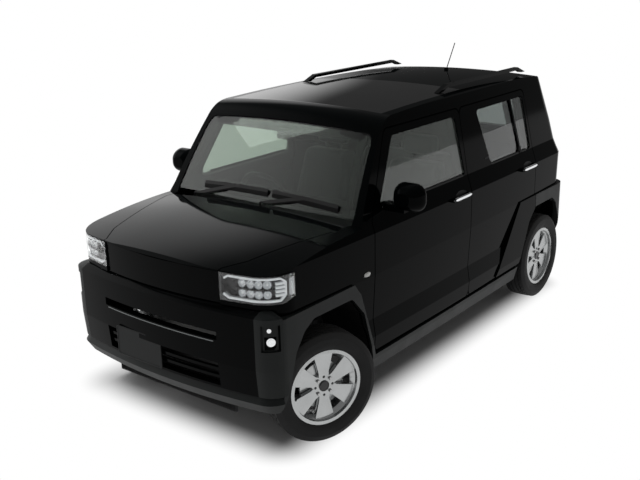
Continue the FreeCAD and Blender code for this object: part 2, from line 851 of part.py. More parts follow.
# Body side: sill, pillars, roof rail and rear quarter in one panel, with the door openings cut
side_outline = [
    (n.door_front_x + gap, n.form_floor),
    (n.door_front_x + gap, n.mirror_foot_height + gap),
    (n.screen_foot_x, n.mirror_foot_height + gap),
    (n.screen_foot_x, n.sky_height),
    (-far, n.sky_height),
    (-far, n.form_floor),
]
side_region = slab_y(side_outline, n.tailgate_top_half + gap + n.seat_gap, far)
side = panel(side_region, 0, n.frame_wall)
hinge_pillar_zone = box(n.door_front_x, n.hinge_pillar_x, 0, far, n.underside_height, n.mirror_foot_height)
side = side.fuse(panel(hinge_pillar_zone, n.sheet_wall + n.seat_gap, n.frame_wall))
door_pocket = form(-n.overrun).cut(form(n.wall + gap))
roof_hole = box(roof_rear_x, far, -n.roof_half_width, n.roof_half_width, n.screen_middle_height, n.sky_height)
tail_bumper_hole = box(-far, n.tail_bumper_front_x, -far, far, 0, n.tail_bumper_top + gap)
door_cuts = [hole.common(door_pocket) for hole in doors_hole]
pin_bores = tailgate_roll(n.tailgate_pin_radius + n.seat_gap, tailgate_pin_half)
side_cuts = [tailgate_hole, screen_hole, front_arch_wide, rear_arch_hole, tail_lamp_hole, roof_hole]
for cutter in door_cuts + door_ways + side_cuts + [tail_bumper_hole, pin_bores]:
    side = side.cut(cutter)
leaves = []
for hinge_x in (n.door_front_x, n.door_split_x - gap / 2):
    for height in (n.lower_hinge_height, n.upper_hinge_height):
        leaf_zone = box(hinge_x - n.hinge_leaf_width - n.seat_gap, hinge_x - n.seat_gap, 0, far,
                        height - n.hinge_leaf_height / 2, height + n.hinge_leaf_height / 2)
        leaves.append(panel(leaf_zone, n.wall + n.seat_gap, n.frame_wall))
side = side.fuse(leaves)
side = max(side.Solids, key=lambda solid: solid.Volume)
keep(side, "body_side_left")
keep(mirrored(side), "body_side_right")

# Roof: steel header over the windscreen and steel rear half, glass between them
roof_half = n.roof_half_width - n.seat_gap
header = panel(box(n.roof_glass_front_x, n.header_front_x - n.seat_gap, -roof_half, roof_half,
                   n.window_top_height, n.sky_height), 0, n.roof_wall)
rear_roof_zone = box(roof_rear_x + n.seat_gap, n.roof_glass_rear_x, -roof_half, roof_half, n.window_top_height,
                     n.sky_height)
roof_lip_half = n.tailgate_top_half + gap
roof_lip_zone = box(n.tailgate_hinge_x + gap, roof_rear_x + n.overrun, -roof_lip_half, roof_lip_half,
                    n.window_top_height, n.sky_height)
rear_roof = panel(rear_roof_zone.fuse(roof_lip_zone), 0, n.roof_wall).cut(tailgate_hole)
rear_roof = max(rear_roof.Solids, key=lambda solid: solid.Volume)
keep(Part.makeCompound([header, rear_roof]), "roof_panel")
roof_glass = panel(box(n.roof_glass_rear_x + n.seat_gap, n.roof_glass_front_x - n.seat_gap, -roof_half, roof_half,
                       n.screen_foot_height, n.sky_height), n.seat_gap, n.glass_depth)
keep(roof_glass, "roof_glass")

# Windscreen and the cowl at its foot
above_cowl = box(0, n.screen_foot_x, -far, far, n.screen_foot_height - n.glass_wall, n.sky_height)
keep(panel(screen_zone.common(above_cowl), n.glass_depth / 2, n.glass_depth), "windscreen")
cowl_side = [
    (n.cowl_rear_x, n.cowl_front_height),
    (n.screen_foot_x, n.screen_foot_height - n.glass_depth * 2),
    (n.bonnet_rear_x - gap, n.cowl_front_height),
    (n.bonnet_rear_x - gap, n.form_floor),
    (n.cowl_rear_x, n.form_floor),
]
cowl_half = n.bonnet_shoulder_half - n.seat_gap
cowl = crowned(cowl_side).common(box(0, far, -cowl_half, cowl_half, n.cowl_bottom, n.sky_height))
keep(cowl, "cowl_panel")

# Two wipers parked at the foot of the screen: pivot on the cowl, arm, and a blade on the glass
# places across the car as shares of the half width of the screen's foot: pivot, blade start, blade end
WIPER_SHARES = [(-0.74, -0.66, 0.08), (0.04, 0.13, 0.82)]


def strip(start, end, width):
    """Straight strip in plan between two points, standing through the whole height."""
    length = math.hypot(end[0] - start[0], end[1] - start[1])
    aside = (-(end[1] - start[1]) / length * width / 2, (end[0] - start[0]) / length * width / 2)
    corners = [(place[0] + side * aside[0], place[1] + side * aside[1])
               for place, side in ((start, 1), (end, 1), (end, -1), (start, -1))]
    return slab_z(corners, n.cowl_bottom, n.sky_height)


wipers = []
on_glass = n.glass_depth / 2 - n.seat_gap
for pivot_share, start_share, end_share in WIPER_SHARES:
    pivot_y, start_y, end_y = [share * n.screen_foot_half for share in (pivot_share, start_share, end_share)]
    blade = panel(strip((n.wiper_x, start_y), (n.wiper_x, end_y), n.wiper_width), -n.wiper_height, on_glass)
    arm = panel(strip((n.wiper_pivot_x, pivot_y), (n.wiper_x, (start_y + end_y) / 2), n.wiper_width),
                -n.wiper_height, -n.glass_wall)
    pivot = Part.makeCylinder(n.wiper_pivot_radius, n.sky_height, Vector(n.wiper_pivot_x, pivot_y, n.cowl_bottom))
    pivot = pivot.common(form(-n.wiper_height)).cut(crowned(grown(cowl_side, n.seat_gap)))
    wipers.append(blade.fuse([arm, pivot]))
keep(Part.makeCompound(wipers), "wipers")

# Bonnet
bonnet = panel(bonnet_zone, 0, n.bonnet_wall)
pin_start = Vector(n.bonnet_hinge_x, n.bonnet_pin_inner, n.bonnet_hinge_height)
pin = Part.makeCylinder(n.bonnet_pin_radius, n.bonnet_pin_outer - n.bonnet_pin_inner, pin_start, Vector(0, 1, 0))
bonnet = bonnet.fuse([pin, mirrored(pin)])
keep(bonnet, "bonnet")

# Fenders, cut by bonnet, lamps, arch and bumper
fender_outline = [
    (n.door_front_x + gap + n.seat_gap, n.form_floor),
    (n.door_front_x + gap + n.seat_gap, n.mirror_foot_height + gap - n.seat_gap),
    (n.screen_foot_x, n.mirror_foot_height + gap - n.seat_gap),
    (n.screen_foot_x, n.screen_foot_height),
    (n.ahead_x, n.screen_foot_height),
    (n.ahead_x, n.bumper_top + gap),
    (n.bumper_rear_x - gap, n.bumper_top + gap),
    (n.bumper_rear_x - gap, n.form_floor),
]
fender = panel(slab_y(fender_outline, n.bonnet_lip_half, far), 0, n.sheet_wall)
for cutter in (bonnet_hole, lamp_hole, front_arch_hole, screen_hole,
               box(n.screen_foot_x, n.bonnet_rear_x, -far, n.bonnet_shoulder_half, 0, n.sky_height)):
    fender = fender.cut(cutter)
ear_start = Vector(n.bonnet_hinge_x, n.bonnet_ear_inner, n.bonnet_hinge_height)
ear_length = n.bonnet_pin_outer - n.bonnet_ear_inner
ear = Part.makeCylinder(n.bonnet_ear_radius, ear_length, ear_start, Vector(0, 1, 0))
ear_web = box(n.bonnet_hinge_x - n.bonnet_ear_radius, n.bonnet_hinge_x + n.bonnet_ear_radius, n.bonnet_ear_inner,
              n.bonnet_pin_outer, n.bonnet_hinge_height, n.screen_foot_height)
ear_bore = Part.makeCylinder(n.bonnet_pin_radius + n.seat_gap, ear_length, ear_start, Vector(0, 1, 0))
fender = fender.fuse(ear.fuse(ear_web).common(form(n.seat_gap))).cut(ear_bore)
fender = max(fender.Solids, key=lambda solid: solid.Volume)
keep(both(fender), "fenders")

# Lamps and the dark panel between the headlamps
lamp = panel(lamp_zone, -n.lamp_proud, n.lamp_depth)
keep(both(lamp.cut(bonnet_hole)), "headlamps")
face = panel(box(0, far, -n.lamp_inner_half + n.seat_gap, n.lamp_inner_half - n.seat_gap, n.face_bottom,
                 n.bonnet_lip_height - gap - n.seat_gap), n.face_depth, n.bonnet_wall)
keep(face, "face_panel")
keep(both(panel(tail_lamp_zone, -n.lamp_proud, n.wall)), "tail_lamps")

# Doors with their windows cut, the pull handles standing off the skin


def handle(centre_x):
    """A pull handle: a bar on two feet, following the flat of the door at its place."""
    inside_y = skin_half - n.handle_width * 1.5
    outside_y = skin_half + n.handle_proud
    rear_x = centre_x - n.handle_length / 2
    front_x = centre_x + n.handle_length / 2
    low = n.handle_height - n.handle_width / 2
    high = n.handle_height + n.handle_width / 2
    bar = box(rear_x, front_x, outside_y - n.handle_wall, outside_y, low, high)
    feet = []
    for foot_x in (rear_x, front_x - n.handle_width):
        feet.append(box(foot_x, foot_x + n.handle_width, inside_y, outside_y, low, high))
    return bar.fuse(feet).removeSplitter()


door_inner = n.roof_half_width + gap
front_door = panel(slab_y(front_door_outline, door_inner, far, n.door_corner_radius), 0, n.wall)
front_door = front_door.cut(slab_y(front_window_outline, 0, far, n.window_corner_radius))
front_door = front_door.cut(front_arch_wide)
front_door = front_door.fuse(handle(n.front_handle_x))

band_outline = [
    (n.rear_band_front_x, n.rear_band_front_height),
    (n.rear_band_top_x, n.arch_band_top),
    (-far, n.arch_band_top),
    (-far, n.rear_band_front_height),
]
rear_door_zone = slab_y(rear_door_outline, door_inner, far, n.door_corner_radius)
rear_door = panel(rear_door_zone, 0, n.wall)
divider = slab_y([
    (n.divider_foot_x - n.divider_width, n.window_foot_height - n.overrun),
    (n.divider_foot_x, n.window_foot_height - n.overrun),
    (n.divider_top_x, n.window_top_height + n.overrun),
    (n.divider_top_x - n.divider_width, n.window_top_height + n.overrun),
], 0, far)
rear_pane_zone = slab_y(rear_window_outline, 0, far, n.window_corner_radius).cut(divider)
rear_door = rear_door.cut(rear_pane_zone)
door_band = bumper_form(0).common(slab_y(band_outline, 0, far)).common(rear_door_zone).cut(form(n.sheet_wall))
rear_door = rear_door.fuse(door_band).cut(rear_arch_hole)
rear_door = rear_door.fuse(handle(n.rear_handle_x))
for side_name, turn in (("left", lambda shape: shape), ("right", mirrored)):
    keep(turn(front_door), "front_door_" + side_name)
    keep(turn(rear_door), "rear_door_" + side_name)
    pane = slab_y(grown(front_window_outline, -n.seat_gap), 0, far, n.window_corner_radius)
    keep(turn(panel(pane, n.glass_depth, n.glass_depth + n.glass_wall)), "front_door_glass_" + side_name)
    pane = slab_y(grown(rear_window_outline, -n.seat_gap), 0, far, n.window_corner_radius).cut(divider)
    keep(turn(panel(pane, n.glass_depth, n.glass_depth + n.glass_wall)), "rear_door_glass_" + side_name)

# Tailgate and its window
tailgate = panel(tailgate_zone, 0, n.wall)
tailgate = tailgate.cut(slab_x(tailgate_window_outline, -far, 0, n.screen_corner_radius))
tailgate = max(tailgate.Solids, key=lambda solid: solid.Volume)
between_pins = tailgate_roll(n.tailgate_roll_radius, n.rear_window_foot_half - gap)
tailgate_pins = tailgate_roll(n.tailgate_pin_radius, tailgate_pin_half).cut(between_pins)
tailgate = tailgate.fuse(tailgate_pins.Solids)
keep(tailgate, "tailgate")
pane = slab_x(grown(tailgate_window_outline, -n.seat_gap), -far, 0, n.screen_corner_radius)
keep(panel(pane, n.glass_depth, n.glass_depth + n.glass_wall), "tailgate_glass")

# Bumpers
bumper_outer = bumper_form(0)
bumper_inner = bumper_form(n.bumper_wall)
bumper_shell = bumper_outer.cut(bumper_inner)
bumper_zone = box(n.bumper_rear_x, far, -n.bumper_corner_half, n.bumper_corner_half, n.bumper_bottom, n.bumper_top)
bumper = bumper_shell.common(bumper_zone)
opening_half = n.lower_opening_half
lower_opening = box(0, far, -opening_half, opening_half, n.lower_opening_bottom, n.lower_opening_top)
upper_opening = box(0, far, -opening_half, opening_half, n.upper_opening_bottom, n.upper_opening_top)
bar_step = (n.lower_opening_top - n.lower_opening_bottom) / 3
bar_half = opening_half + n.overrun / 4
bar_depth = bumper_form(n.sheet_wall).common(bumper_zone).cut(bumper_form(n.sheet_wall + n.grille_bar_depth))
bars = []
for k in (1, 2):
    level = n.lower_opening_bottom + bar_step * k
    low = level - n.grille_bar_height / 2
    bars.append(bar_depth.common(box(0, far, -bar_half, bar_half, low, low + n.grille_bar_height)))
bumper = bumper.cut(lower_opening).cut(upper_opening).fuse(bars)
keep(bumper, "front_bumper")
corner_zone = box(n.bumper_rear_x, far, n.bumper_corner_half + n.seat_gap, far, n.bumper_bottom, n.bumper_top)
corner = bumper_shell.common(corner_zone)


def fog_box(margin):
    """The upright box that holds the fog lamp and the small lamp above it, drawn in by margin."""
    half = n.fog_half_width - margin
    bottom = n.fog_centre_height - half
    top = n.small_lamp_height + n.fog_half_width / 2 - margin
    return box(n.bumper_rear_x, far, n.fog_centre_half - half, n.fog_centre_half + half, bottom, top)


fog_hole = fog_box(0)
corner = corner.cut(fog_hole).cut(front_arch_wide)
corner = max(corner.Solids, key=lambda solid: solid.Volume)
keep(both(corner), "bumper_corners")
keep(both(bumper_form(n.sheet_wall).common(fog_box(n.seat_gap)).cut(bumper_inner)), "fog_lamps")
guard_zone = box(n.bumper_rear_x, far, -far, far, n.bumper_foot_bottom, n.bumper_bottom - n.seat_gap)
guard = guard_form(0).common(guard_zone).cut(guard_form(n.guard_wall)).cut(front_arch_wide)
keep(guard, "skid_guard")
tail_bumper_zone = box(-far, n.tail_bumper_front_x - gap, -far, far, n.tail_bumper_bottom, n.tail_bumper_top)
tail_bumper = bumper_shell.common(tail_bumper_zone).cut(rear_arch_wide)
keep(tail_bumper, "rear_bumper")

# Dark plastic bands round the wheel arches, and the sill trims
front_band_outline = [
    (n.door_front_x + gap, n.underside_height),
    (n.door_front_x + gap, n.arch_low_height),
    (n.front_band_tail_x, n.front_band_tail_height),
    (n.front_band_top_x, n.arch_band_top),
    (n.bumper_rear_x - n.seat_gap, n.arch_band_top),
    (n.bumper_rear_x - n.seat_gap, n.underside_height),
]
skin_touch = form(-n.seat_gap)
front_band = bumper_form(0).common(slab_y(front_band_outline, 0, far)).cut(skin_touch).cut(front_arch_hole)
rear_band = bumper_form(0).common(slab_y(band_outline, n.tailgate_belt_half, far)).cut(skin_touch)
rear_band = rear_band.cut(doors_hole[1]).cut(rear_arch_hole).cut(tail_bumper_hole)
sill_zone = box(rear_axle_x, front_axle_x, 0, far, n.underside_height, n.sill_trim_top - gap)
sill_trim = bumper_form(0).common(sill_zone).cut(skin_touch)
for cutter in (front_arch_hole, rear_arch_hole, slab_y(front_band_outline, 0, far)):
    sill_trim = sill_trim.cut(cutter)
bands = []
for shape in (front_band, rear_band, sill_trim):
    bands.append(max(shape.Solids, key=lambda solid: solid.Volume))
keep(both(Part.makeCompound(bands)), "claddings")

# Wheel housings

liners = []
for outline, inner_half, skin_depth in ((front_arch, n.liner_inner_half, n.sheet_wall),
                                        (rear_arch, n.rear_liner_inner_half, n.frame_wall)):
    outer = slab_y(grown(outline, n.liner_wall), inner_half, half_width, n.door_corner_radius)
    inner = slab_y(outline, inner_half - n.overrun, half_width + n.overrun, n.door_corner_radius)
    liner = outer.cut(inner).common(box(-far, far, 0, far, n.bumper_foot_bottom, n.sky_height))
    liners.append(liner.common(form(skin_depth + n.seat_gap)))
keep(both(Part.makeCompound(liners)), "wheel_liners")

# Floor with tunnel and bulkhead, one welded pan
floor_half = half_width
pan_top = n.floor_height + n.floor_wall
bulkhead_x = n.firewall_x - n.floor_wall
riser_x = n.kick_x - n.floor_wall
floor = box(riser_x, n.firewall_x, -floor_half, floor_half, n.floor_height, pan_top)
cargo = box(tail_x, n.kick_x, -floor_half, floor_half, n.cargo_floor_height - n.floor_wall, n.cargo_floor_height)
riser = box(riser_x, n.kick_x, -floor_half, floor_half, n.floor_height, n.cargo_floor_height)
bulkhead = box(bulkhead_x, n.firewall_x, -floor_half, floor_half, n.floor_height, n.cowl_bottom - n.seat_gap)
floor = floor.fuse([cargo, riser, bulkhead])
tunnel_rear_x = n.kick_x + n.seat_length + gap
tunnel_top = n.floor_height + n.tunnel_height
tunnel = box(tunnel_rear_x, n.firewall_x, -n.tunnel_half, n.tunnel_half, n.floor_height, tunnel_top)
tunnel_hollow = box(tunnel_rear_x + n.floor_wall, n.firewall_x + n.overrun, -n.tunnel_half + n.floor_wall,
                    n.tunnel_half - n.floor_wall, n.floor_height - n.overrun, tunnel_top - n.floor_wall)
floor = floor.fuse(tunnel).cut(tunnel_hollow)
floor = floor.common(form(n.frame_wall + n.seat_gap))
# side rails that carry the engine and the subframe
pad_y = n.engine_width / 2 + n.seat_gap
rail = box(bulkhead_x, n.front_rail_end_x, n.rail_inner_half, n.rail_outer_half, n.front_rail_bottom,
           n.front_rail_top)
pad_x = n.engine_x - n.engine_pad_length / 2
engine_pad = box(pad_x, pad_x + n.engine_pad_length, pad_y, n.rail_outer_half,
                 n.front_rail_top - n.engine_pad_height, n.front_rail_top)
floor = floor.fuse([rail, mirrored(rail), engine_pad, mirrored(engine_pad)])
for outline, inner_half in ((front_arch, n.liner_inner_half), (rear_arch, n.rear_liner_inner_half)):
    hole = slab_y(grown(outline, n.liner_wall + n.seat_gap), inner_half - n.seat_gap, far, n.door_corner_radius)
    floor = floor.cut(hole).cut(mirrored(hole))
tail_zone = box(-far, n.tail_bumper_front_x, -n.tailgate_foot_half + gap, n.tailgate_foot_half - gap,
                n.underside_height, n.tailgate_bottom - gap)
tail_depth = n.frame_wall + n.seat_gap
tail_panel = bumper_form(n.bumper_wall + n.seat_gap).common(tail_zone).cut(form(tail_depth))
floor = floor.cut(panel(tail_zone, -n.overrun, tail_depth + n.seat_gap))
keep(floor.removeSplitter(), "floor_pan")
keep(tail_panel, "tail_panel")


# Bodies made from sketches

def new_body(label):
    body = doc.addObject("PartDesign::Body", label)
    body.Label = label
    PARTS.append(body)
    return body


def new_sketch(body, name, role, offset=None):
    plane = [feature for feature in body.Origin.OriginFeatures if feature.Role == role][0]
    sketch = body.newObject("Sketcher::SketchObject", name)
    sketch.AttachmentSupport = (plane, "")
    sketch.MapMode = "FlatFace"
    if offset is not None:
        sketch.setExpression("AttachmentOffset.Base.z", offset.text)
    return sketch


def draw(sketch, points):
    """A closed polygon, each corner bound to the sheet by its two distances."""
    first = sketch.GeometryCount
    corners = [(sized(u), sized(v)) for u, v in points]
    count = len(corners)
    for i, (u, v) in enumerate(corners):
        w, t = corners[(i + 1) % count]
        sketch.addGeometry(Part.LineSegment(Vector(u.number, v.number, 0), Vector(w.number, t.number, 0)), False)
    for i in range(count):
        sketch.addConstraint(Sketcher.Constraint("Coincident", first + i, 2, first + (i + 1) % count, 1))
    for i, (u, v) in enumerate(corners):
        for kind, size in (("DistanceX", u), ("DistanceY", v)):
            if size.number == 0:
                axis = -2 if kind == "DistanceX" else -1
                sketch.addConstraint(Sketcher.Constraint("PointOnObject", first + i, 1, axis))
                continue
            index = sketch.addConstraint(Sketcher.Constraint(kind, first + i, 1, size.number))
            sketch.setExpression("Constraints[%d]" % index, size.text)


def draw_circle(sketch, u, v, radius):
    u, v = sized(u), sized(v)
    shape = Part.Circle(Vector(u.number, v.number, 0), Vector(0, 0, 1), radius.number)
    circle = sketch.addGeometry(shape, False)
    index = sketch.addConstraint(Sketcher.Constraint("Radius", circle, radius.number))
    sketch.setExpression("Constraints[%d]" % index, radius.text)
    for kind, size, axis in (("DistanceX", u, -2), ("DistanceY", v, -1)):
        if size.number == 0:
            sketch.addConstraint(Sketcher.Constraint("PointOnObject", circle, 3, axis))
            continue
        index = sketch.addConstraint(Sketcher.Constraint(kind, circle, 3, size.number))
        sketch.setExpression("Constraints[%d]" % index, size.text)


def pad(body, sketch, length, midplane=False, reverse=False):
    feature = body.newObject("PartDesign::Pad", "pad")
    feature.Profile = sketch
    feature.setExpression("Length", length.text)
    feature.Midplane = midplane
    feature.Reversed = reverse
    doc.recompute()
    return feature


def revolve(body, sketch, axis="H_Axis"):
    feature = body.newObject("PartDesign::Revolution", "revolution")
    feature.Profile = sketch
    feature.ReferenceAxis = (sketch, [axis])
    feature.Angle = 360
    doc.recompute()
    return feature


def pocket_through(body, sketch):
    """Cut a sketch through everything, on both sides of its plane."""
    feature = body.newObject("PartDesign::Pocket", "pocket")
    feature.Profile = sketch
    feature.Type = 1
    feature.Midplane = True
    doc.recompute()
    return feature


def polar(body, feature, sketch, count, axis="N_Axis"):
    pattern = body.newObject("PartDesign::PolarPattern", "pattern")
    pattern.Originals = [feature]
    pattern.Axis = (sketch, [axis])
    pattern.Angle = 360
    pattern.setExpression("Occurrences", count.text)
    body.Tip = pattern
    doc.recompute()
    return pattern


# Wheels: the axle line is the body's Y axis, the outer face looks along +Y

def tyre(label):
    """Hollow tyre carcass, its rings laid in flat facets with their corners on the full radius."""
    half = n.tyre_width / 2
    shoulder = n.tread_width / 2
    rim_half = n.rim_width / 2
    bulge = (n.tyre_radius + n.bead_radius) / 2
    under_tread = n.tyre_radius - n.shoulder_drop * 2
    step = 2 * math.pi / n.tyre_facets
    spread = 1 / math.cos(step / 2)
    profile = [
        (n.bead_radius * spread, -rim_half),
        (n.rim_lip_radius * spread, -rim_half),
        (bulge, -half),
        (under_tread, -half + n.tyre_wall / 2),
        (n.tyre_radius, -shoulder),
        (n.tyre_radius, shoulder),
        (under_tread, half - n.tyre_wall / 2),
        (bulge, half),
        (n.rim_lip_radius * spread, rim_half),
        (n.bead_radius * spread, rim_half),
        (n.bead_radius * spread, rim_half - n.tyre_wall),
        (under_tread, shoulder - n.tyre_wall / 2),
        (under_tread, -shoulder + n.tyre_wall / 2),
        (n.bead_radius * spread, -rim_half + n.tyre_wall),
    ]

    def point(corner, turn):
        radius, across = corner
        angle = step * turn - math.pi / 2
        return Vector(radius * math.cos(angle), across, radius * math.sin(angle))

    faces = []
    for turn in range(int(n.tyre_facets)):
        for i, corner in enumerate(profile):
            last = profile[i - 1]
            loop = [point(last, turn), point(corner, turn), point(corner, turn + 1), point(last, turn + 1)]
            faces.append(Part.Face(Part.makePolygon(loop + loop[:1])))
    carcass = Part.makeSolid(Part.makeShell(faces))
    if carcass.Volume < 0:
        carcass.reverse()
    keep(carcass, label)
    return PARTS[-1]


def rim(label):
    """Alloy rim: barrel with lips, broad flat spokes, hub with stud holes, and the brake disc behind."""
    body = new_body(label)
    barrel = new_sketch(body, "barrel_profile", "XY_Plane")
    outer = b.bead_radius - b.seat_gap
    lip = b.rim_lip_radius
    rim_half = b.rim_width / 2 + b.rim_wall
    inside = b.rim_width / 2 + b.seat_gap
    well = outer - b.rim_wall * 3
    draw(barrel, [
        (outer - b.rim_wall, -rim_half),
        (lip, -rim_half),
        (lip, -inside),
        (outer, -inside),
        (outer, -inside + b.rim_wall * 2),
        (well, -inside + b.rim_wall * 5),
        (well, inside - b.rim_wall * 5),
        (outer, inside - b.rim_wall * 2),
        (outer, inside),
        (lip, inside),
        (lip, rim_half),
        (outer - b.rim_wall, rim_half),
        (outer - b.rim_wall, inside - b.rim_wall * 2),
        (well - b.rim_wall, inside - b.rim_wall * 5),
        (well - b.rim_wall, -inside + b.rim_wall * 5),
        (outer - b.rim_wall, -inside + b.rim_wall * 2),
    ])
    revolve(body, barrel, "V_Axis")
    hub = new_sketch(body, "hub_profile", "XY_Plane")
    face = b.rim_face_depth
    back = face - b.spoke_depth
    draw(hub, [
        (ZERO, back),
        (b.rim_hub_radius, back),
        (b.rim_hub_radius, face - b.rim_wall),
        (b.rim_hub_radius - b.rim_wall, face),
        (ZERO, face),
    ])
    revolve(body, hub, "V_Axis")
    spoke_plan = new_sketch(body, "spoke_plan", "XZ_Plane", -face)
    half = b.spoke_width / 2
    tip = b.spoke_tip_width / 2
    reach = b.bead_radius - b.rim_wall * 1.5
    draw(spoke_plan, [
        (-half, b.rim_hub_radius / 2),
        (half, b.rim_hub_radius / 2),
        (half, b.rim_hub_radius + b.rim_wall),
        (tip, reach),
        (-tip, reach),
        (-half, b.rim_hub_radius + b.rim_wall),
    ])
    spoke = pad(body, spoke_plan, b.spoke_depth)
    polar(body, spoke, spoke_plan, b.spoke_count)
    hole_plan = new_sketch(body, "hole_plan", "XZ_Plane", -face)
    hole_half = b.spoke_hole_width / 2
    draw(hole_plan, [
        (-hole_half, b.spoke_hole_radius),
        (hole_half, b.spoke_hole_radius),
        (hole_half, b.spoke_hole_radius + b.spoke_hole_length),
        (-hole_half, b.spoke_hole_radius + b.spoke_hole_length),
    ])
    hole = body.newObject("PartDesign::Pocket", "spoke_hole")
    hole.Profile = hole_plan
    hole.setExpression("Length", b.spoke_depth.text)
    doc.recompute()
    polar(body, hole, hole_plan, b.spoke_count)
    lug_plan = new_sketch(body, "lug_plan", "XZ_Plane", -face)
    draw_circle(lug_plan, ZERO, b.lug_circle_radius, b.lug_hole_radius)
    lug = pocket_through(body, lug_plan)
    polar(body, lug, lug_plan, b.lug_count)
    disc = new_sketch(body, "disc_profile", "XY_Plane")
    draw(disc, [
        (b.stub_radius + b.bearing_gap, back - b.disc_width),
        (b.disc_radius, back - b.disc_width),
        (b.disc_radius, back - b.disc_width / 3),
        (b.rim_hub_radius, back - b.disc_width / 3),
        (b.rim_hub_radius, back + b.seat_gap),
        (b.stub_radius + b.bearing_gap, back + b.seat_gap),
    ])
    revolve(body, disc, "V_Axis")
    return body


def place_wheel(body, side, front):
    axle_x = front_axle_x if front else rear_axle_x
    offset = (n.front_track if front else n.rear_track) / 2
    flip = Rotation(Vector(0, 0, 1), 0 if side > 0 else 180)
    rest = Placement(Vector(axle_x, side * offset, n.tyre_radius), flip)
    if front:
        pin = Vector(axle_x, side * (offset - n.kingpin_offset), 0)
        steer = Placement(Vector(0, 0, 0), Rotation(Vector(0, 0, 1), -n.rest_steer_angle), pin)
        rest = steer.multiply(rest)
    body.Placement = rest


def knuckle(label):
    """Steering knuckle with its stub axle and the strut above; the origin is the wheel centre."""
    body = new_body(label)
    back = b.rim_face_depth - b.spoke_depth - b.disc_width
    upright = new_sketch(body, "upright_profile", "XY_Plane")
    pin = -b.kingpin_offset
    draw(upright, [
        (ZERO, pin - b.strut_offset - b.knuckle_width / 2),
        (b.knuckle_radius, pin - b.strut_offset - b.knuckle_width / 2),
        (b.knuckle_radius, pin + b.knuckle_width / 2),
        (b.stub_radius * 1.5, back - b.bearing_gap),
        (b.stub_radius, back - b.bearing_gap),
        (b.stub_radius, back - b.bearing_gap + b.disc_width),
        (ZERO, back - b.bearing_gap + b.disc_width),
    ])
    revolve(body, upright, "V_Axis")
    strut = new_sketch(body, "strut_section", "XY_Plane")
    draw_circle(strut, ZERO, pin - b.strut_offset, b.strut_radius)
    pad(body, strut, b.strut_height)
    ball = new_sketch(body, "ball_section", "XY_Plane")
    draw_circle(ball, ZERO, pin, b.stub_radius)
    pad(body, ball, b.tyre_radius - b.subframe_height + b.subframe_wall - b.arm_radius - b.seat_gap, reverse=True)
    return body


for front in (True, False):
    for side in (1, -1):
        name = ("front_" if front else "rear_") + ("left" if side > 0 else "right")
        for make, kind in ((tyre, "tyre_"), (rim, "rim_")):
            place_wheel(make(kind + name), side, front)
        if front:
            place_wheel(knuckle("knuckle_" + name.split("_")[1]), side, True)

# Rear axle: torsion beam, trailing arms and stub hubs
axle = new_body("rear_axle")
beam = new_sketch(axle, "beam_section", "XZ_Plane")
draw_circle(beam, ZERO, ZERO, b.axle_beam_radius)
beam_half = b.rear_track / 2 - b.axle_hub_width * 3
pad(axle, beam, beam_half * 2, midplane=True)
hub_back = b.rim_face_depth - b.spoke_depth - b.disc_width - b.bearing_gap
axle_x = b.overall_length / 2 - b.front_overhang - b.wheelbase
arm_reach = b.kick_x - b.floor_wall - b.seat_gap - axle_x
for side in (1, -1):
    hub = new_sketch(axle, "hub_section", "XZ_Plane", (b.rear_track / 2 + hub_back) * -side)
    draw_circle(hub, ZERO, ZERO, b.axle_hub_radius)
    pad(axle, hub, b.axle_hub_width * 3 + hub_back, reverse=side < 0)
    stub = new_sketch(axle, "stub_section", "XZ_Plane", (b.rear_track / 2 + hub_back) * -side)
    draw_circle(stub, ZERO, ZERO, b.stub_radius)
    pad(axle, stub, b.disc_width, reverse=side > 0)
    arm = new_sketch(axle, "arm_section", "YZ_Plane")
    draw_circle(arm, b.trailing_arm_offset * side, ZERO, b.trailing_arm_radius)
    pad(axle, arm, arm_reach)
axle.Placement = Placement(Vector(rear_axle_x, 0, n.tyre_radius), Rotation())

# Front subframe with its lower arms
subframe = new_body("front_subframe")
frame_plan = new_sketch(subframe, "frame_plan", "XY_Plane")
inner_half = b.subframe_half
draw(frame_plan, [
    (-b.subframe_length / 2, -inner_half),
    (b.subframe_length / 2, -inner_half),
    (b.subframe_length / 2, inner_half),
    (-b.subframe_length / 2, inner_half),
])
pad(subframe, frame_plan, b.subframe_wall)
arm_plan = new_sketch(subframe, "arm_plan", "XY_Plane")
tip = b.front_track / 2 - b.kingpin_offset
for side in (1, -1):
    draw(arm_plan, [
        (-b.subframe_length / 3, inner_half * side),
        (b.subframe_length / 3, inner_half * side),
        (b.arm_radius, tip * side),
        (-b.arm_radius, tip * side),
    ])
pad(subframe, arm_plan, b.arm_radius)
posts = new_sketch(subframe, "post_plan", "XY_Plane")
for side in (1, -1):
    for end in (1, -1):
        post_x = b.subframe_length / 3 * end
        draw(posts, [
            (post_x - b.arm_radius, b.rail_inner_half * side),
            (post_x + b.arm_radius, b.rail_inner_half * side),
            (post_x + b.arm_radius, inner_half * side),
            (post_x - b.arm_radius, inner_half * side),
        ])
pad(subframe, posts, b.front_rail_bottom - b.subframe_height + b.subframe_wall - b.seat_gap)
subframe.Placement = Placement(Vector(front_axle_x, 0, n.subframe_height - n.subframe_wall), Rotation())

# Engine and gearbox as one block
engine = doc.addObject("Part::Box", "engine_block")
engine.Label = "engine_block"
engine.setExpression("Length", "sizes.engine_length")
engine.setExpression("Width", "sizes.engine_width")
engine.setExpression("Height", "sizes.engine_height")
engine_corner = Vector(n.engine_x - n.engine_length / 2, -n.engine_width / 2, n.engine_bottom)
engine.Placement = Placement(engine_corner, Rotation())
PARTS.append(engine)

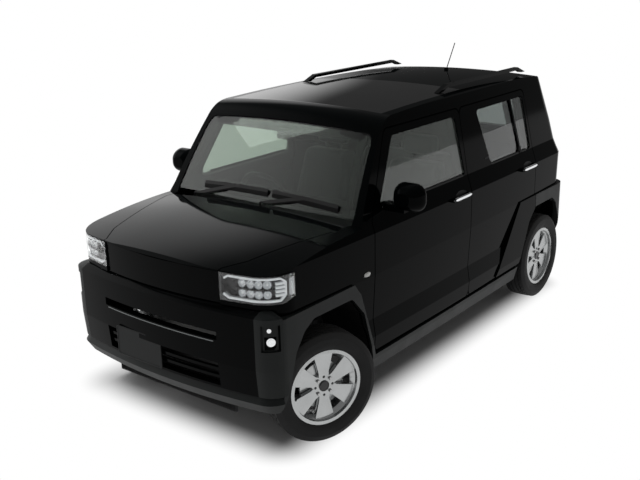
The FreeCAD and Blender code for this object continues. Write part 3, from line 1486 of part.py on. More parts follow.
# Fuel tank
tank = new_body("fuel_tank")
tank_plan = new_sketch(tank, "tank_plan", "XY_Plane")
draw(tank_plan, [
    (-b.tank_length / 2, -b.tank_width / 2),
    (b.tank_length / 2, -b.tank_width / 2),
    (b.tank_length / 2, b.tank_width / 2),
    (-b.tank_length / 2, b.tank_width / 2),
])
pad(tank, tank_plan, b.floor_height - b.tank_bottom - b.seat_gap)
tank.Placement = Placement(Vector(n.tank_x, 0, n.tank_bottom), Rotation())

# Exhaust: silencer across the tail with its inlet pipe
exhaust = new_body("exhaust")
muffler = new_sketch(exhaust, "muffler_section", "XZ_Plane")
draw_circle(muffler, ZERO, ZERO, b.muffler_radius)
pad(exhaust, muffler, b.muffler_length, midplane=True)
pipe = new_sketch(exhaust, "pipe_section", "YZ_Plane")
draw_circle(pipe, ZERO, ZERO, b.exhaust_radius)
pad(exhaust, pipe, -b.tank_x)
hanger = new_sketch(exhaust, "hanger_section", "XY_Plane")
for side in (1, -1):
    draw_circle(hanger, ZERO, b.muffler_length / 3 * side, b.hanger_radius)
pad(exhaust, hanger, b.muffler_radius + b.shut_gap - b.seat_gap)
muffler_height = n.cargo_floor_height - n.floor_wall - n.muffler_radius - gap
exhaust.Placement = Placement(Vector(tail_x - n.tank_x / 2, 0, muffler_height), Rotation())


# Seats: cushion, leaning back and headrest in one solid

def seat(label, width, heel, back_height, headrests, offsets):
    """Cushions with their backs on a plinth; heel is the height up to which the back stands upright."""
    body = new_body(label)
    base = b.floor_height + b.floor_wall + b.seat_gap - b.seat_base_height
    for offset in offsets:
        side_view = new_sketch(body, "seat_side", "XZ_Plane", -(offset - width / 2))
        draw(side_view, [
            (ZERO, ZERO),
            (b.seat_plinth_inset, ZERO),
            (b.seat_plinth_inset, base),
            (b.seat_length - b.seat_plinth_inset, base),
            (b.seat_length - b.seat_plinth_inset, ZERO),
            (b.seat_length, b.seat_round),
            (b.seat_length, b.seat_cushion_height),
            (b.seat_back_wall, b.seat_cushion_height),
            (b.seat_back_wall - b.seat_lean, b.seat_cushion_height + back_height),
            (-b.seat_lean, b.seat_cushion_height + back_height),
            (ZERO, heel),
        ])
        pad(body, side_view, width, reverse=True)
    for offset in headrests:
        rest_view = new_sketch(body, "headrest_side", "XZ_Plane", -(offset - b.headrest_width / 2))
        top = b.seat_cushion_height + back_height
        draw(rest_view, [
            (-b.seat_lean, top - b.seat_round),
            (b.headrest_wall - b.seat_lean, top - b.seat_round),
            (b.headrest_wall - b.seat_lean, top + b.headrest_height),
            (-b.seat_lean, top + b.headrest_height),
        ])
        pad(body, rest_view, b.headrest_width, reverse=True)
    return body


for side, name in ((1, "left"), (-1, "right")):
    place = b.front_seat_offset * side
    body = seat("front_seat_" + name, b.seat_width, b.seat_round, b.seat_back_height, [place], [place])
    body.Placement = Placement(Vector(n.front_seat_x - n.seat_length / 2, 0, n.seat_base_height), Rotation())
bench_heel = b.cargo_floor_height - b.seat_base_height + b.seat_gap * 2
body = seat("rear_seat", b.rear_seat_width, bench_heel, b.rear_seat_back_height,
            [b.rear_headrest_offset, -b.rear_headrest_offset], [ZERO])
body.Placement = Placement(Vector(n.kick_x + n.seat_gap, 0, n.seat_base_height), Rotation())

# Dashboard
dash = new_body("dashboard")
dash_side = new_sketch(dash, "dash_side", "XZ_Plane")
dash_front = b.firewall_x - b.floor_wall - b.seat_gap
draw(dash_side, [
    (dash_front, b.dash_bottom),
    (dash_front, b.dash_top - b.dash_slope),
    (dash_front - b.dash_slope, b.dash_top),
    (b.dash_rear_x + b.overrun, b.dash_top),
    (b.dash_rear_x, b.dash_top - b.overrun),
    (b.dash_rear_x + b.overrun, b.dash_bottom),
])
pad(dash, dash_side, b.dash_half * 2, midplane=True)
column_turn = Rotation(Vector(0, 1, 0), 90 + n.column_lean_angle)


def column_bar(label, radius, start, end):
    """A cylinder on the steering column's axis, between two distances from the middle of the wheel."""
    bar = doc.addObject("Part::Cylinder", label)
    bar.setExpression("Radius", radius.text)
    bar.setExpression("Height", (end - start).text)
    centre = Vector(n.column_x, -n.driver_offset, n.column_height)
    bar.Placement = Placement(centre + column_turn.multVec(Vector(0, 0, start.number)), column_turn)
    return bar


PARTS.remove(dash)
dash.Label = "dash_moulding"
cover = column_bar("column_cover", b.column_cover_radius, b.column_cover_reach, b.column_length)
bore = column_bar("column_bore", b.column_radius + b.seat_gap, b.column_cover_reach - b.seat_gap,
                  b.column_length + b.seat_gap)
covered = doc.addObject("Part::Fuse", "dash_with_cover")
covered.Base = dash
covered.Tool = cover
dashboard = doc.addObject("Part::Cut", "dashboard")
dashboard.Label = "dashboard"
dashboard.Base = covered
dashboard.Tool = bore
PARTS.append(dashboard)

# Steering wheel on its column: the column is the body's Z axis, pointing at the driver
steering = new_body("steering_wheel")
grip = new_sketch(steering, "grip_section", "XZ_Plane")
draw_circle(grip, b.wheel_grip_radius, ZERO, b.grip_radius)
revolve(steering, grip, "V_Axis")
boss = new_sketch(steering, "boss_section", "XY_Plane", -b.column_length)
draw_circle(boss, ZERO, ZERO, b.column_radius)
pad(steering, boss, b.column_length)
spokes = new_sketch(steering, "spoke_plan", "XY_Plane", -b.grip_radius)
draw(spokes, [
    (-b.wheel_grip_radius, -b.column_radius),
    (b.wheel_grip_radius, -b.column_radius),
    (b.wheel_grip_radius, b.column_radius),
    (-b.wheel_grip_radius, b.column_radius),
])
pad(steering, spokes, b.grip_radius)
lean = Rotation(Vector(0, 1, 0), n.column_lean_angle - 90)
quarter = Rotation(Vector(0, 0, 1), -90)
steering.Placement = Placement(Vector(n.column_x, -n.driver_offset, n.column_height), lean.multiply(quarter))


# Door mirrors: a domed housing with a flat glass end, on a foot at the front corner of the door window

# station along the housing from its glass end, and width and height there, as shares of its sizes
MIRROR_SHARES = [(0, 0.94), (0.1, 1), (0.45, 0.95), (0.8, 0.74), (1, 0.42)]


def mirror_shape():
    foot = box(n.mirror_x - n.mirror_length / 3, n.mirror_x + n.mirror_length / 3, skin_half - n.mirror_foot,
               skin_half + n.mirror_reach, n.mirror_centre_height - n.mirror_height / 2 - n.seat_gap,
               n.mirror_centre_height - n.mirror_height / 4)
    foot = foot.cut(form(-n.seat_gap))
    centre_y = skin_half + n.mirror_reach
    sections = []
    for along, share in MIRROR_SHARES:
        half_y, half_z = n.mirror_width / 2 * share, n.mirror_height / 2 * share
        corners = [
            (centre_y - half_y, n.mirror_centre_height - half_z),
            (centre_y + half_y, n.mirror_centre_height - half_z),
            (centre_y + half_y, n.mirror_centre_height + half_z),
            (centre_y - half_y, n.mirror_centre_height + half_z),
        ]
        station = n.mirror_x - n.mirror_length / 2 + n.mirror_length * along
        sections.append(rounded_wire(corners, n.mirror_round * share, lambda y, z, x=station: Vector(x, y, z)))
    return Part.makeLoft(sections, True, False).fuse(foot)


mirror = mirror_shape()
keep(mirror, "mirror_left")
keep(mirrored(mirror), "mirror_right")

# Roof rails on their feet, and the rod aerial
rail_top = n.overall_height
rail_bottom = rail_top - n.rail_thickness
rail = slab_y([
    (n.rail_front_x, rail_bottom - n.rail_thickness),
    (n.rail_front_x - n.rail_foot_length, rail_top),
    (n.rail_rear_x + n.rail_foot_length, rail_top),
    (n.rail_rear_x, rail_bottom - n.rail_thickness),
    (n.rail_rear_x + n.rail_foot_length / 2, rail_bottom - n.rail_thickness),
    (n.rail_rear_x + n.rail_foot_length, rail_bottom),
    (n.rail_front_x - n.rail_foot_length, rail_bottom),
    (n.rail_front_x - n.rail_foot_length / 2, rail_bottom - n.rail_thickness),
], n.rail_offset - n.rail_width / 2, n.rail_offset + n.rail_width / 2)
keep(both(rail.cut(form(-n.seat_gap))), "roof_rails")
lean_turn = Rotation(Vector(0, 1, 0), -n.antenna_lean_angle)
base = Vector(n.antenna_x, 0, n.roof_rear_height)
foot = Part.makeCylinder(n.antenna_foot_radius, n.rail_thickness, base, Vector(0, 0, 1))
rod = Part.makeCylinder(n.antenna_radius, n.antenna_length, base, lean_turn.multVec(Vector(0, 0, 1)))
keep(foot.fuse(rod).cut(form(-n.seat_gap)), "antenna")

# Check every object and sub-part, then write the sub-parts
doc.recompute()
for item in doc.Objects:
    if "Invalid" in item.State or "Error" in item.State:
        raise RuntimeError("%s is %s" % (item.Label, item.State))
for piece in PARTS:
    if piece.Shape.isNull() or not piece.Shape.isValid():
        raise RuntimeError("%s has no valid shape" % piece.Label)
os.makedirs("parts", exist_ok=True)
for piece in PARTS:
    piece.Shape.exportStep(os.path.join("parts", piece.Label + ".step"))
    print(piece.Label, len(piece.Shape.Solids), round(piece.Shape.Volume / 1e6, 2))
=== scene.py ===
import json
import math

import bmesh
import bpy
from mathutils import Matrix, Vector
from mathutils.bvhtree import BVHTree


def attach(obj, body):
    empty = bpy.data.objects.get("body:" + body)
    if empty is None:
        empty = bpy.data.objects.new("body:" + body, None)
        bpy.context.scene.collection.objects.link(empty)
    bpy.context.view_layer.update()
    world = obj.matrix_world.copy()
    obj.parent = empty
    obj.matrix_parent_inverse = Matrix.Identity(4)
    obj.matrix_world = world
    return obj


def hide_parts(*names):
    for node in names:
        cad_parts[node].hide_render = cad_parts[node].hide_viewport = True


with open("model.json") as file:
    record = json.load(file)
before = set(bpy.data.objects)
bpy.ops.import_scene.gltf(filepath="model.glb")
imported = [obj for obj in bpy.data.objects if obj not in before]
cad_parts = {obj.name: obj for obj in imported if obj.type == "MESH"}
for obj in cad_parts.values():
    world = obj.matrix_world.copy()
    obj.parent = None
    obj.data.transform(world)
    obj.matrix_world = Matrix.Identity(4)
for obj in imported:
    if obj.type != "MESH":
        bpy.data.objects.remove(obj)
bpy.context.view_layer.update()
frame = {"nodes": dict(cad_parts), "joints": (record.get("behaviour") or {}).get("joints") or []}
nodes = frame["nodes"]
scene = bpy.context.scene
scene.view_settings.view_transform = "Standard"

# Camera
# It stands in front of the car's left corner, a little above roof height, and looks slightly down,
# with a normal lens on a full-width film gate.
camera_place = Vector((4.42143, 3.20806, 2.37823))
camera_yaw = math.radians(-141.809)
camera_pitch = math.radians(-17.703)
camera_roll = math.radians(-1.378)
camera_data = bpy.data.cameras.new("camera")
camera_data.sensor_width = 36
camera_data.lens = 49.975
camera_data.clip_end = 500
camera = bpy.data.objects.new("camera", camera_data)
scene.collection.objects.link(camera)
look = Vector((math.cos(camera_yaw) * math.cos(camera_pitch), math.sin(camera_yaw) * math.cos(camera_pitch),
               math.sin(camera_pitch)))
turn = look.to_track_quat("-Z", "Y").to_matrix().to_4x4() @ Matrix.Rotation(camera_roll, 4, "Z")
camera.matrix_world = Matrix.Translation(camera_place) @ turn
scene.camera = camera

# Studio
# A wide floor, mid grey round the car as painted shade that deepens its shadow, and even white beyond, and a
# white sky whose soft banks and dark flag draw the sheen on roof, bonnet and windscreen; one large lamp
# above gives the form.
floor_reach = 90
# patch of painted shade round the car, where the floor keeps its shadow: middle, half size and soft edge
shadow_middle = (-0.06, -0.10, 0)
shadow_half = (1.42, 0.62, 0)
shadow_edge = 0.28
sky_strength = 0.27
# name, azimuth, height, outer and inner angle in degrees, strength
banks = (
    ("bonnet_sheen", 235, 22, 18, 4, 2.1),
    ("roof_edge", 228, 4, 14, 3, 0.9),
    ("roof_flag", 210, 12, 24, 5, -0.22),
    ("windscreen_sheen", 285, 18, 40, 12, 1.6),
)
key_place = Vector((0.6, -3.2, 5.2))
key_target = Vector((0, 0, 0.4))


def set_inputs(tree, node, inputs):
    """Give each named or numbered input a value, or link another node's output to it."""
    for key, value in inputs.items():
        if isinstance(value, bpy.types.NodeSocket):
            tree.links.new(value, node.inputs[key])
        else:
            node.inputs[key].default_value = value


def add_node(tree, kind, inputs=None, **settings):
    """A new node with its settings and inputs; gives its outputs."""
    node = tree.nodes.new(kind)
    for key, value in settings.items():
        setattr(node, key, value)
    set_inputs(tree, node, inputs or {})
    return node.outputs


def seen_by(tree, *rays):
    """1 on the named kinds of rays and 0 on all others."""
    path = add_node(tree, "ShaderNodeLightPath")
    seen = 0
    for ray in rays:
        seen = add_node(tree, "ShaderNodeMath", {0: seen, 1: path[ray]}, operation="MAXIMUM")["Value"]
    return seen


bpy.ops.mesh.primitive_plane_add(size=2 * floor_reach)
floor = bpy.context.object
floor.name = "studio_floor"
floor_finish = bpy.data.materials.new("studio_floor")
floor_finish.use_nodes = True
tree = floor_finish.node_tree
shader = tree.nodes["Principled BSDF"]
# mid grey base colour: painted shade that deepens the car's shadow inside the patch
set_inputs(tree, shader, {"Base Color": (0.5, 0.5, 0.5, 1), "Roughness": 0.9, "Specular IOR Level": 0})
beyond = add_node(tree, "ShaderNodeTexCoord")["Object"]
for operation, other in (("SUBTRACT", shadow_middle), ("ABSOLUTE", (0, 0, 0)), ("SUBTRACT", shadow_half),
                         ("MAXIMUM", (0, 0, 0))):
    beyond = add_node(tree, "ShaderNodeVectorMath", {0: beyond, 1: other}, operation=operation)["Vector"]
beyond = add_node(tree, "ShaderNodeVectorMath", {0: beyond}, operation="LENGTH")["Value"]
fade = add_node(tree, "ShaderNodeMapRange", {"Value": beyond, "From Min": 0, "From Max": shadow_edge},
                interpolation_type="SMOOTHSTEP")["Result"]
seen = seen_by(tree, "Is Camera Ray", "Is Glossy Ray", "Is Transmission Ray")
share = add_node(tree, "ShaderNodeMath", {0: fade, 1: seen}, operation="MULTIPLY")["Value"]
white = add_node(tree, "ShaderNodeEmission", {"Strength": 1})["Emission"]
mix = add_node(tree, "ShaderNodeMixShader", {0: share, 1: shader.outputs["BSDF"], 2: white})["Shader"]
tree.links.new(mix, tree.nodes["Material Output"].inputs["Surface"])
floor.data.materials.append(floor_finish)

world = bpy.data.worlds.new("studio")
world.use_nodes = True
scene.world = world
tree = world.node_tree
direction = add_node(tree, "ShaderNodeTexCoord")["Generated"]
light = sky_strength
for name, azimuth, height, outer, inner, strength in banks:
    azimuth = math.radians(azimuth)
    height = math.radians(height)
    middle = (math.cos(azimuth) * math.cos(height), math.sin(azimuth) * math.cos(height), math.sin(height))
    near = add_node(tree, "ShaderNodeVectorMath", {0: direction, 1: middle},
                    operation="DOT_PRODUCT")["Value"]
    bank = add_node(tree, "ShaderNodeMapRange", {
        "Value": near, "From Min": math.cos(math.radians(outer)), "From Max": math.cos(math.radians(inner)),
        "To Max": strength}, name=name, interpolation_type="SMOOTHSTEP")["Result"]
    light = add_node(tree, "ShaderNodeMath", {0: light, 1: bank})["Value"]
seen = seen_by(tree, "Is Camera Ray", "Is Transmission Ray")
light = add_node(tree, "ShaderNodeMix", {"Factor": seen, "A": light, "B": 1}, data_type="FLOAT")["Result"]
set_inputs(tree, tree.nodes["Background"], {"Color": (1, 1, 1, 1), "Strength": light})

key_lamp = bpy.data.lights.new("key_lamp", "AREA")
key_lamp.shape = "RECTANGLE"
key_lamp.size = 4.5
key_lamp.size_y = 2.6
key_lamp.energy = 230
key_holder = bpy.data.objects.new("key_lamp", key_lamp)
key_facing = (key_target - key_place).to_track_quat("-Z", "Y").to_matrix().to_4x4()
key_holder.matrix_world = Matrix.Translation(key_place) @ key_facing
key_holder.visible_glossy = False
scene.collection.objects.link(key_holder)

# Painted shell
# Pressed steel: body sides, fenders, bonnet, doors, roof and tailgate, sprayed black and lacquered.
# The paint is deep and even, with a faint orange peel.
dust_tint = (0.3, 0.29, 0.27, 1)


def empty_group(name, kind, inputs, outputs):
    """A node group with only its sockets, in as (name, kind, start) and out as (name, kind)."""
    group = bpy.data.node_groups.new(name, kind)
    for label, socket_kind, start in inputs:
        socket = group.interface.new_socket(label, in_out="INPUT", socket_type="NodeSocket" + socket_kind)
        if start is not None:
            socket.default_value = start
    for label, socket_kind in outputs:
        group.interface.new_socket(label, in_out="OUTPUT", socket_type="NodeSocket" + socket_kind)
    return group, add_node(group, "NodeGroupInput")


def surface_grain():
    """Shader group that every finish shares: clouds of tint and gloss, dust on top, and a fine height."""
    group, given = empty_group("surface_grain", "ShaderNodeTree", (
        ("Tint", "Color", (0.5, 0.5, 0.5, 1)), ("Shade", "Color", (0.4, 0.4, 0.4, 1)),
        ("Gloss Low", "Float", 0.3), ("Gloss High", "Float", 0.5), ("Cloud Scale", "Float", 6),
        ("Grain Scale", "Float", 400), ("Dust", "Float", 0)), (
        ("Tint", "Color"), ("Gloss", "Float"), ("Height", "Float")))
    place = add_node(group, "ShaderNodeTexCoord")["Object"]
    clouds, grain = (add_node(group, "ShaderNodeTexNoise", {
        "Detail": detail, "Vector": place, "Scale": given[scale]})["Fac"]
        for detail, scale in ((4, "Cloud Scale"), (3, "Grain Scale")))
    tint = add_node(group, "ShaderNodeMix", {"Factor": clouds, "A": given["Tint"], "B": given["Shade"]},
                    data_type="RGBA")["Result"]
    facing = add_node(group, "ShaderNodeNewGeometry")["Normal"]
    upward = add_node(group, "ShaderNodeSeparateXYZ", {"Vector": facing})["Z"]
    dust = add_node(group, "ShaderNodeMath", {0: upward, 1: given["Dust"]}, operation="MULTIPLY",
                    use_clamp=True)["Value"]
    dusty = add_node(group, "ShaderNodeMix", {"Factor": dust, "A": tint, "B": dust_tint},
                     data_type="RGBA")["Result"]
    gloss = add_node(group, "ShaderNodeMix", {
        "Factor": clouds, "A": given["Gloss Low"], "B": given["Gloss High"]}, data_type="FLOAT")["Result"]
    add_node(group, "NodeGroupOutput", {"Tint": dusty, "Gloss": gloss, "Height": grain})
    return group


grain_group = surface_grain()


def finish(name, tint, shade, gloss, grain=400, bump=0.1, depth=0.0002, cloud=6, dust=0, **sockets):
    """A material: the shared grain with its own values, a bump, and any other shader socket by name."""
    material = bpy.data.materials.new(name)
    material.use_nodes = True
    tree = material.node_tree
    surface = add_node(tree, "ShaderNodeGroup", {
        "Tint": (*tint, 1), "Shade": (*shade, 1), "Gloss Low": gloss[0], "Gloss High": gloss[1],
        "Cloud Scale": cloud, "Grain Scale": grain, "Dust": dust}, node_tree=grain_group)
    relief = add_node(tree, "ShaderNodeBump", {"Strength": bump, "Distance": depth,
                                               "Height": surface["Height"]})
    set_inputs(tree, tree.nodes["Principled BSDF"], {
        "Base Color": surface["Tint"], "Roughness": surface["Gloss"], "Normal": relief["Normal"],
        **{key.replace("_", " "): value for key, value in sockets.items()}})
    return material


def dress(material, *names):
    """Give CAD nodes their finish."""
    for name in names:
        mesh = nodes[name].data
        mesh.materials.clear()
        mesh.materials.append(material)


flips = {"left": 1, "right": -1}
black_paint = finish("black_paint", (0.0010, 0.0014, 0.0015), (0.0016, 0.0021, 0.0022), (0.04, 0.08),
                     grain=900, bump=0.06, depth=0.00004, cloud=2.5, Specular_IOR_Level=0.022)
dress(black_paint, "fenders", "bonnet", "roof_panel", "tailgate")
for side in flips:
    dress(black_paint, "body_side_" + side, "front_door_" + side, "rear_door_" + side, "mirror_" + side)

# Arch bands, sill trims, guard, bumper corners, rear bumper, cowl and wheel housings
# Moulded in dark grey plastic with a fine leather-like grain, clipped to the shell.
grained_plastic = finish("grained_plastic", (0.0075, 0.0092, 0.0090), (0.0115, 0.0135, 0.013), (0.45, 0.6),
                         grain=900, bump=0.35, depth=0.0003, cloud=9, Specular_IOR_Level=0.2)
dress(grained_plastic, "claddings", "bumper_corners", "skid_guard", "rear_bumper", "cowl_panel")
felt_liner = finish("felt_liner", (0.006, 0.006, 0.006), (0.01, 0.01, 0.01), (0.8, 0.95), grain=600,
                    bump=0.6, depth=0.0006, Specular_IOR_Level=0.1)
dress(felt_liner, "wheel_liners")

# Floor and tail panel
# Welded steel pan with its rails, dipped and sprayed with a dull stone-guard coat.
stone_guard = finish("stone_guard", (0.03, 0.031, 0.032), (0.045, 0.045, 0.046), (0.6, 0.8), grain=260,
                     bump=0.5, depth=0.0008, dust=0.05)
dress(stone_guard, "floor_pan", "tail_panel")

# Axles, subframe, knuckles, engine block, exhaust and tank
# Cast and pressed iron under black chassis paint; the exhaust is bare stainless, browned near its joints.
chassis_iron = finish("chassis_iron", (0.028, 0.028, 0.029), (0.05, 0.047, 0.044), (0.5, 0.75), grain=180,
                      bump=0.4, depth=0.0008, cloud=11, Metallic=0.3)
dress(chassis_iron, "rear_axle", "front_subframe", "knuckle_left", "knuckle_right")
cast_alloy = finish("cast_alloy", (0.2, 0.2, 0.2), (0.3, 0.3, 0.29), (0.45, 0.65), grain=300, bump=0.5,
                    depth=0.0008, Metallic=0.8)
dress(cast_alloy, "engine_block")
stainless = finish("stainless", (0.42, 0.41, 0.4), (0.3, 0.25, 0.2), (0.28, 0.45), grain=500, bump=0.2,
                   depth=0.0003, cloud=5, Metallic=1)
dress(stainless, "exhaust")
tank_plastic = finish("tank_plastic", (0.015, 0.015, 0.016), (0.02, 0.02, 0.02), (0.4, 0.55), grain=200,
                      bump=0.3)
dress(tank_plastic, "fuel_tank")

# Window glass
# Toughened panes and a laminated windscreen with a green body tint; the panes behind the front doors are
# darker privacy glass.
pane = {"grain": 5, "bump": 0.0, "Transmission_Weight": 1, "IOR": 1.45}
side_glass = finish("side_glass", (0.56, 0.62, 0.57), (0.55, 0.61, 0.56), (0.0, 0.012), **pane)
dress(side_glass, "front_door_glass_left", "front_door_glass_right")
privacy_glass = finish("privacy_glass", (0.36, 0.39, 0.38), (0.35, 0.38, 0.37), (0.0, 0.012), **pane)
dress(privacy_glass, "tailgate_glass", "rear_door_glass_left", "rear_door_glass_right")
screen_glass = finish("screen_glass", (0.44, 0.51, 0.45), (0.43, 0.50, 0.44), (0.0, 0.01), **pane)
dress(screen_glass, "windscreen")

# Roof glass
# One fixed dark pane over the front seats, bonded flush between header and steel roof.
smoked_glass = finish("smoked_glass", (0.012, 0.012, 0.012), (0.016, 0.016, 0.016), (0.03, 0.05), grain=5,
                      bump=0.0, Specular_IOR_Level=0.5)
dress(smoked_glass, "roof_glass")

# Roof rails, aerial, face panel and front bumper centre
# Moulded in black and painted glossy, a shade lighter than the shell.
gloss_black = finish("gloss_black", (0.0016, 0.0019, 0.0020), (0.0024, 0.0027, 0.0028), (0.06, 0.12),
                     grain=700, bump=0.08, depth=0.00005, Specular_IOR_Level=0.03)
dress(gloss_black, "roof_rails", "antenna", "face_panel", "front_bumper")

# Tyres
# Steel-belted rubber, 165 wide on 15-inch rims, moulded with four ring grooves and slanted cross grooves.
# The sidewalls carry only plain rings.
tyre_radius = 0.298
bead_radius = 0.192
tread_half = 0.066
crown_drop = 0.0022
groove_depth = 0.007
groove_places = (-0.042, -0.015, 0.015, 0.042)
groove_half = 0.0036
groove_draft = 0.001
pitch_count = 46
cross_groove_shares = (0, 0.035, 0.12, 0.155, 0.58)
cross_depth_share = 0.8
cross_slant = 1.1
sidewall = [(bead_radius, 0.052), (bead_radius, 0.0635), (0.201, 0.0665), (0.204, 0.0700), (0.208, 0.0705),
            (0.212, 0.0745), (0.225, 0.0800), (0.2445, 0.0825), (0.262, 0.0815), (0.266, 0.0822),
            (0.269, 0.0808), (0.280, 0.0765), (0.288, 0.0722), (0.2935, 0.0685)]
sharp_angle = math.radians(35)


def new_object(name, points, faces):
    """An object with a mesh of its own, its faces turned to the outside."""
    mesh = bpy.data.meshes.new(name)
    mesh.from_pydata([tuple(p) for p in points], [], faces)
    made = bpy.data.objects.new(name, mesh)
    scene.collection.objects.link(made)
    shape = bmesh.new()
    shape.from_mesh(mesh)
    bmesh.ops.recalc_face_normals(shape, faces=shape.faces)
    shape.to_mesh(mesh)
    shape.free()
    return made


def soften(mesh, angle=sharp_angle):
    """Smooth faces, with every edge over an angle left sharp."""
    mesh.shade_smooth()
    mesh.set_sharp_from_angle(angle=angle)


def add_mesh(name, points, faces, material, body, slot, smooth=True):
    """A finished piece: its mesh, finish and body; the slot argument is not used."""
    piece = new_object(name, points, faces)
    if smooth:
        soften(piece.data)
    piece.data.materials.append(material)
    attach(piece, body)
    return piece


def joint_named(name):
    """A joint of the CAD frame."""
    return next(joint for joint in frame["joints"] if joint["name"] == name)


def wheel_frame(joint_name, outward):
    """Matrix from a wheel's own axes (forward, outward, up) to the car's, with its centre at the joint."""
    joint = joint_named(joint_name)
    out = Vector(joint["axis"]).normalized()
    if out.y * outward < 0:
        out = -out
    ahead = out.cross(Vector((0, 0, 1)))
    turn = Matrix((ahead, out, Vector((0, 0, 1)))).transposed().to_4x4()
    return Matrix.Translation(Vector(joint["pos_m"])) @ turn


def tread_profile():
    """Points of the tyre's outside from one bead to the other, as (radius, across, is block)."""
    edges = [-tread_half]
    for place in groove_places:
        edges += [place - groove_half, place + groove_half]
    edges.append(tread_half)
    tread = []
    for k in range(0, len(edges), 2):
        start, end = edges[k], edges[k + 1]
        crown = [tyre_radius - crown_drop * (abs(a) / tread_half) ** 2 for a in (start, end)]
        if k:
            tread.append((tyre_radius - groove_depth, start - groove_draft, False))
        tread += [(crown[0], start, True), (crown[1], end, True)]
        if k < len(edges) - 2:
            tread.append((tyre_radius - groove_depth, end + groove_draft, False))
    return [(r, -a, False) for r, a in sidewall] + tread + [(r, a, False) for r, a in reversed(sidewall)]


def net(rows, around=False, across=True):
    """Points and faces between equal rows; around joins the last row to the first, across closes each."""
    count = len(rows[0])
    faces = []
    for row in range(len(rows) if around else len(rows) - 1):
        after = (row + 1) % len(rows)
        for k in range(count if across else count - 1):
            beside = (k + 1) % count
            faces.append((row * count + k, row * count + beside, after * count + beside, after * count + k))
    return [p for row in rows for p in row], faces


tyre_rubber = finish("tyre_rubber", (0.012, 0.012, 0.0125), (0.02, 0.02, 0.02), (0.62, 0.8), grain=500,
                     bump=0.35, depth=0.0003, cloud=14, dust=0.06, Specular_IOR_Level=0.3)
profile = tread_profile()
wheels = []
for end in ("front", "rear"):
    for side, flip in flips.items():
        name = end + "_" + side
        wheels.append((name, wheel_frame("roll_" + name, flip)))
for name, place in wheels:
    columns = []
    for pitch in range(pitch_count):
        for index, share in enumerate(cross_groove_shares):
            column = []
            for radius, across, block in profile:
                angle = 2 * math.pi * (pitch + share) / pitch_count
                if block:
                    angle += cross_slant * abs(across) / tyre_radius
                if block and abs(across) >= groove_places[2] and index in (1, 2):
                    radius -= groove_depth * cross_depth_share
                column.append(place @ Vector((radius * math.cos(angle), across, radius * math.sin(angle))))
            columns.append(column)
    tyre = add_mesh("tread_" + name, *net(columns, around=True), tyre_rubber, "wheel_" + name, "tyre")
    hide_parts("tyre_" + name)

# Rims
# Cast aluminium with six broad flat spokes, painted silver, their edges broken by a small bevel.
# Four conical nuts hold each one, and a dark cap covers the hub.
bevel_width = 0.0016
cap_radius = 0.029
cap_height = 0.007
lug_circle = 0.050
nut_count = 4
face_level = 0.046
nut_seat = 0.005
valve_middle = (0.171, 0.03, -0.03)
nut_profile = [(0.0092, 0), (0.0092, 0.004), (0.0096, 0.0042), (0.0096, 0.013), (0.0080, 0.0155),
               (0.0030, 0.0155)]
cap_profile = [(cap_radius, -0.004), (cap_radius, cap_height * 0.6), (cap_radius * 0.93, cap_height),
               (cap_radius * 0.80, cap_height), (cap_radius * 0.76, cap_height * 0.7),
               (0.004, cap_height * 0.85)]
valve_profile = [(0.0035, 0), (0.0035, 0.018), (0.0045, 0.018), (0.0045, 0.03), (0.003, 0.031)]
weld_reach = 0.00002
flat_angle = math.radians(1.5)
bevelled_angle = math.radians(50)
silver_paint = finish("silver_paint", (0.50, 0.51, 0.51), (0.42, 0.43, 0.43), (0.2, 0.3), grain=900,
                      bump=0.1, depth=0.00006, cloud=12, Metallic=0.85)
dark_cap = finish("dark_cap", (0.02, 0.021, 0.022), (0.03, 0.03, 0.031), (0.25, 0.35), grain=500)
nut_steel = finish("nut_steel", (0.5, 0.5, 0.5), (0.35, 0.35, 0.35), (0.2, 0.35), grain=700, Metallic=1)


def applied(piece):
    """Run a piece's modifiers into its mesh and take them off."""
    piece.update_tag()
    bpy.context.view_layer.update()
    graph = bpy.context.evaluated_depsgraph_get()
    mesh = bpy.data.meshes.new_from_object(piece.evaluated_get(graph))
    piece.modifiers.clear()
    mesh.name = piece.name
    piece.data = mesh
    return mesh


def merged_copy(node_name, name, bevel, segments=2, angle=25):
    """A welded copy of a CAD node with its edges broken by a bevel."""
    mesh = nodes[node_name].data.copy()
    mesh.name = name
    shape = bmesh.new()
    shape.from_mesh(mesh)
    bmesh.ops.remove_doubles(shape, verts=shape.verts, dist=weld_reach)
    bmesh.ops.dissolve_limit(shape, angle_limit=flat_angle, verts=shape.verts, edges=shape.edges)
    shape.to_mesh(mesh)
    shape.free()
    piece = bpy.data.objects.new(name, mesh)
    scene.collection.objects.link(piece)
    mesh.materials.clear()
    soften(mesh, math.radians(angle))
    edges = piece.modifiers.new("edges", "BEVEL")
    edges.width = bevel
    edges.segments = segments
    edges.limit_method = "ANGLE"
    edges.angle_limit = math.radians(angle)
    soften(applied(piece), bevelled_angle)
    return piece


def close_tree(tree, given, points, **more):
    """End a tree: copies of the given pattern on points, made real and dressed in the given finish."""
    pattern = add_node(tree, "GeometryNodeObjectInfo", {"Object": given["Pattern"]})["Geometry"]
    copies = add_node(tree, "GeometryNodeInstanceOnPoints", {"Points": points, "Instance": pattern, **more})
    real = add_node(tree, "GeometryNodeRealizeInstances", {"Geometry": copies["Instances"]})["Geometry"]
    dressed = add_node(tree, "GeometryNodeSetMaterial", {"Geometry": real, "Material": given["Finish"]})
    add_node(tree, "NodeGroupOutput", {"Geometry": dressed["Geometry"]})
    return tree


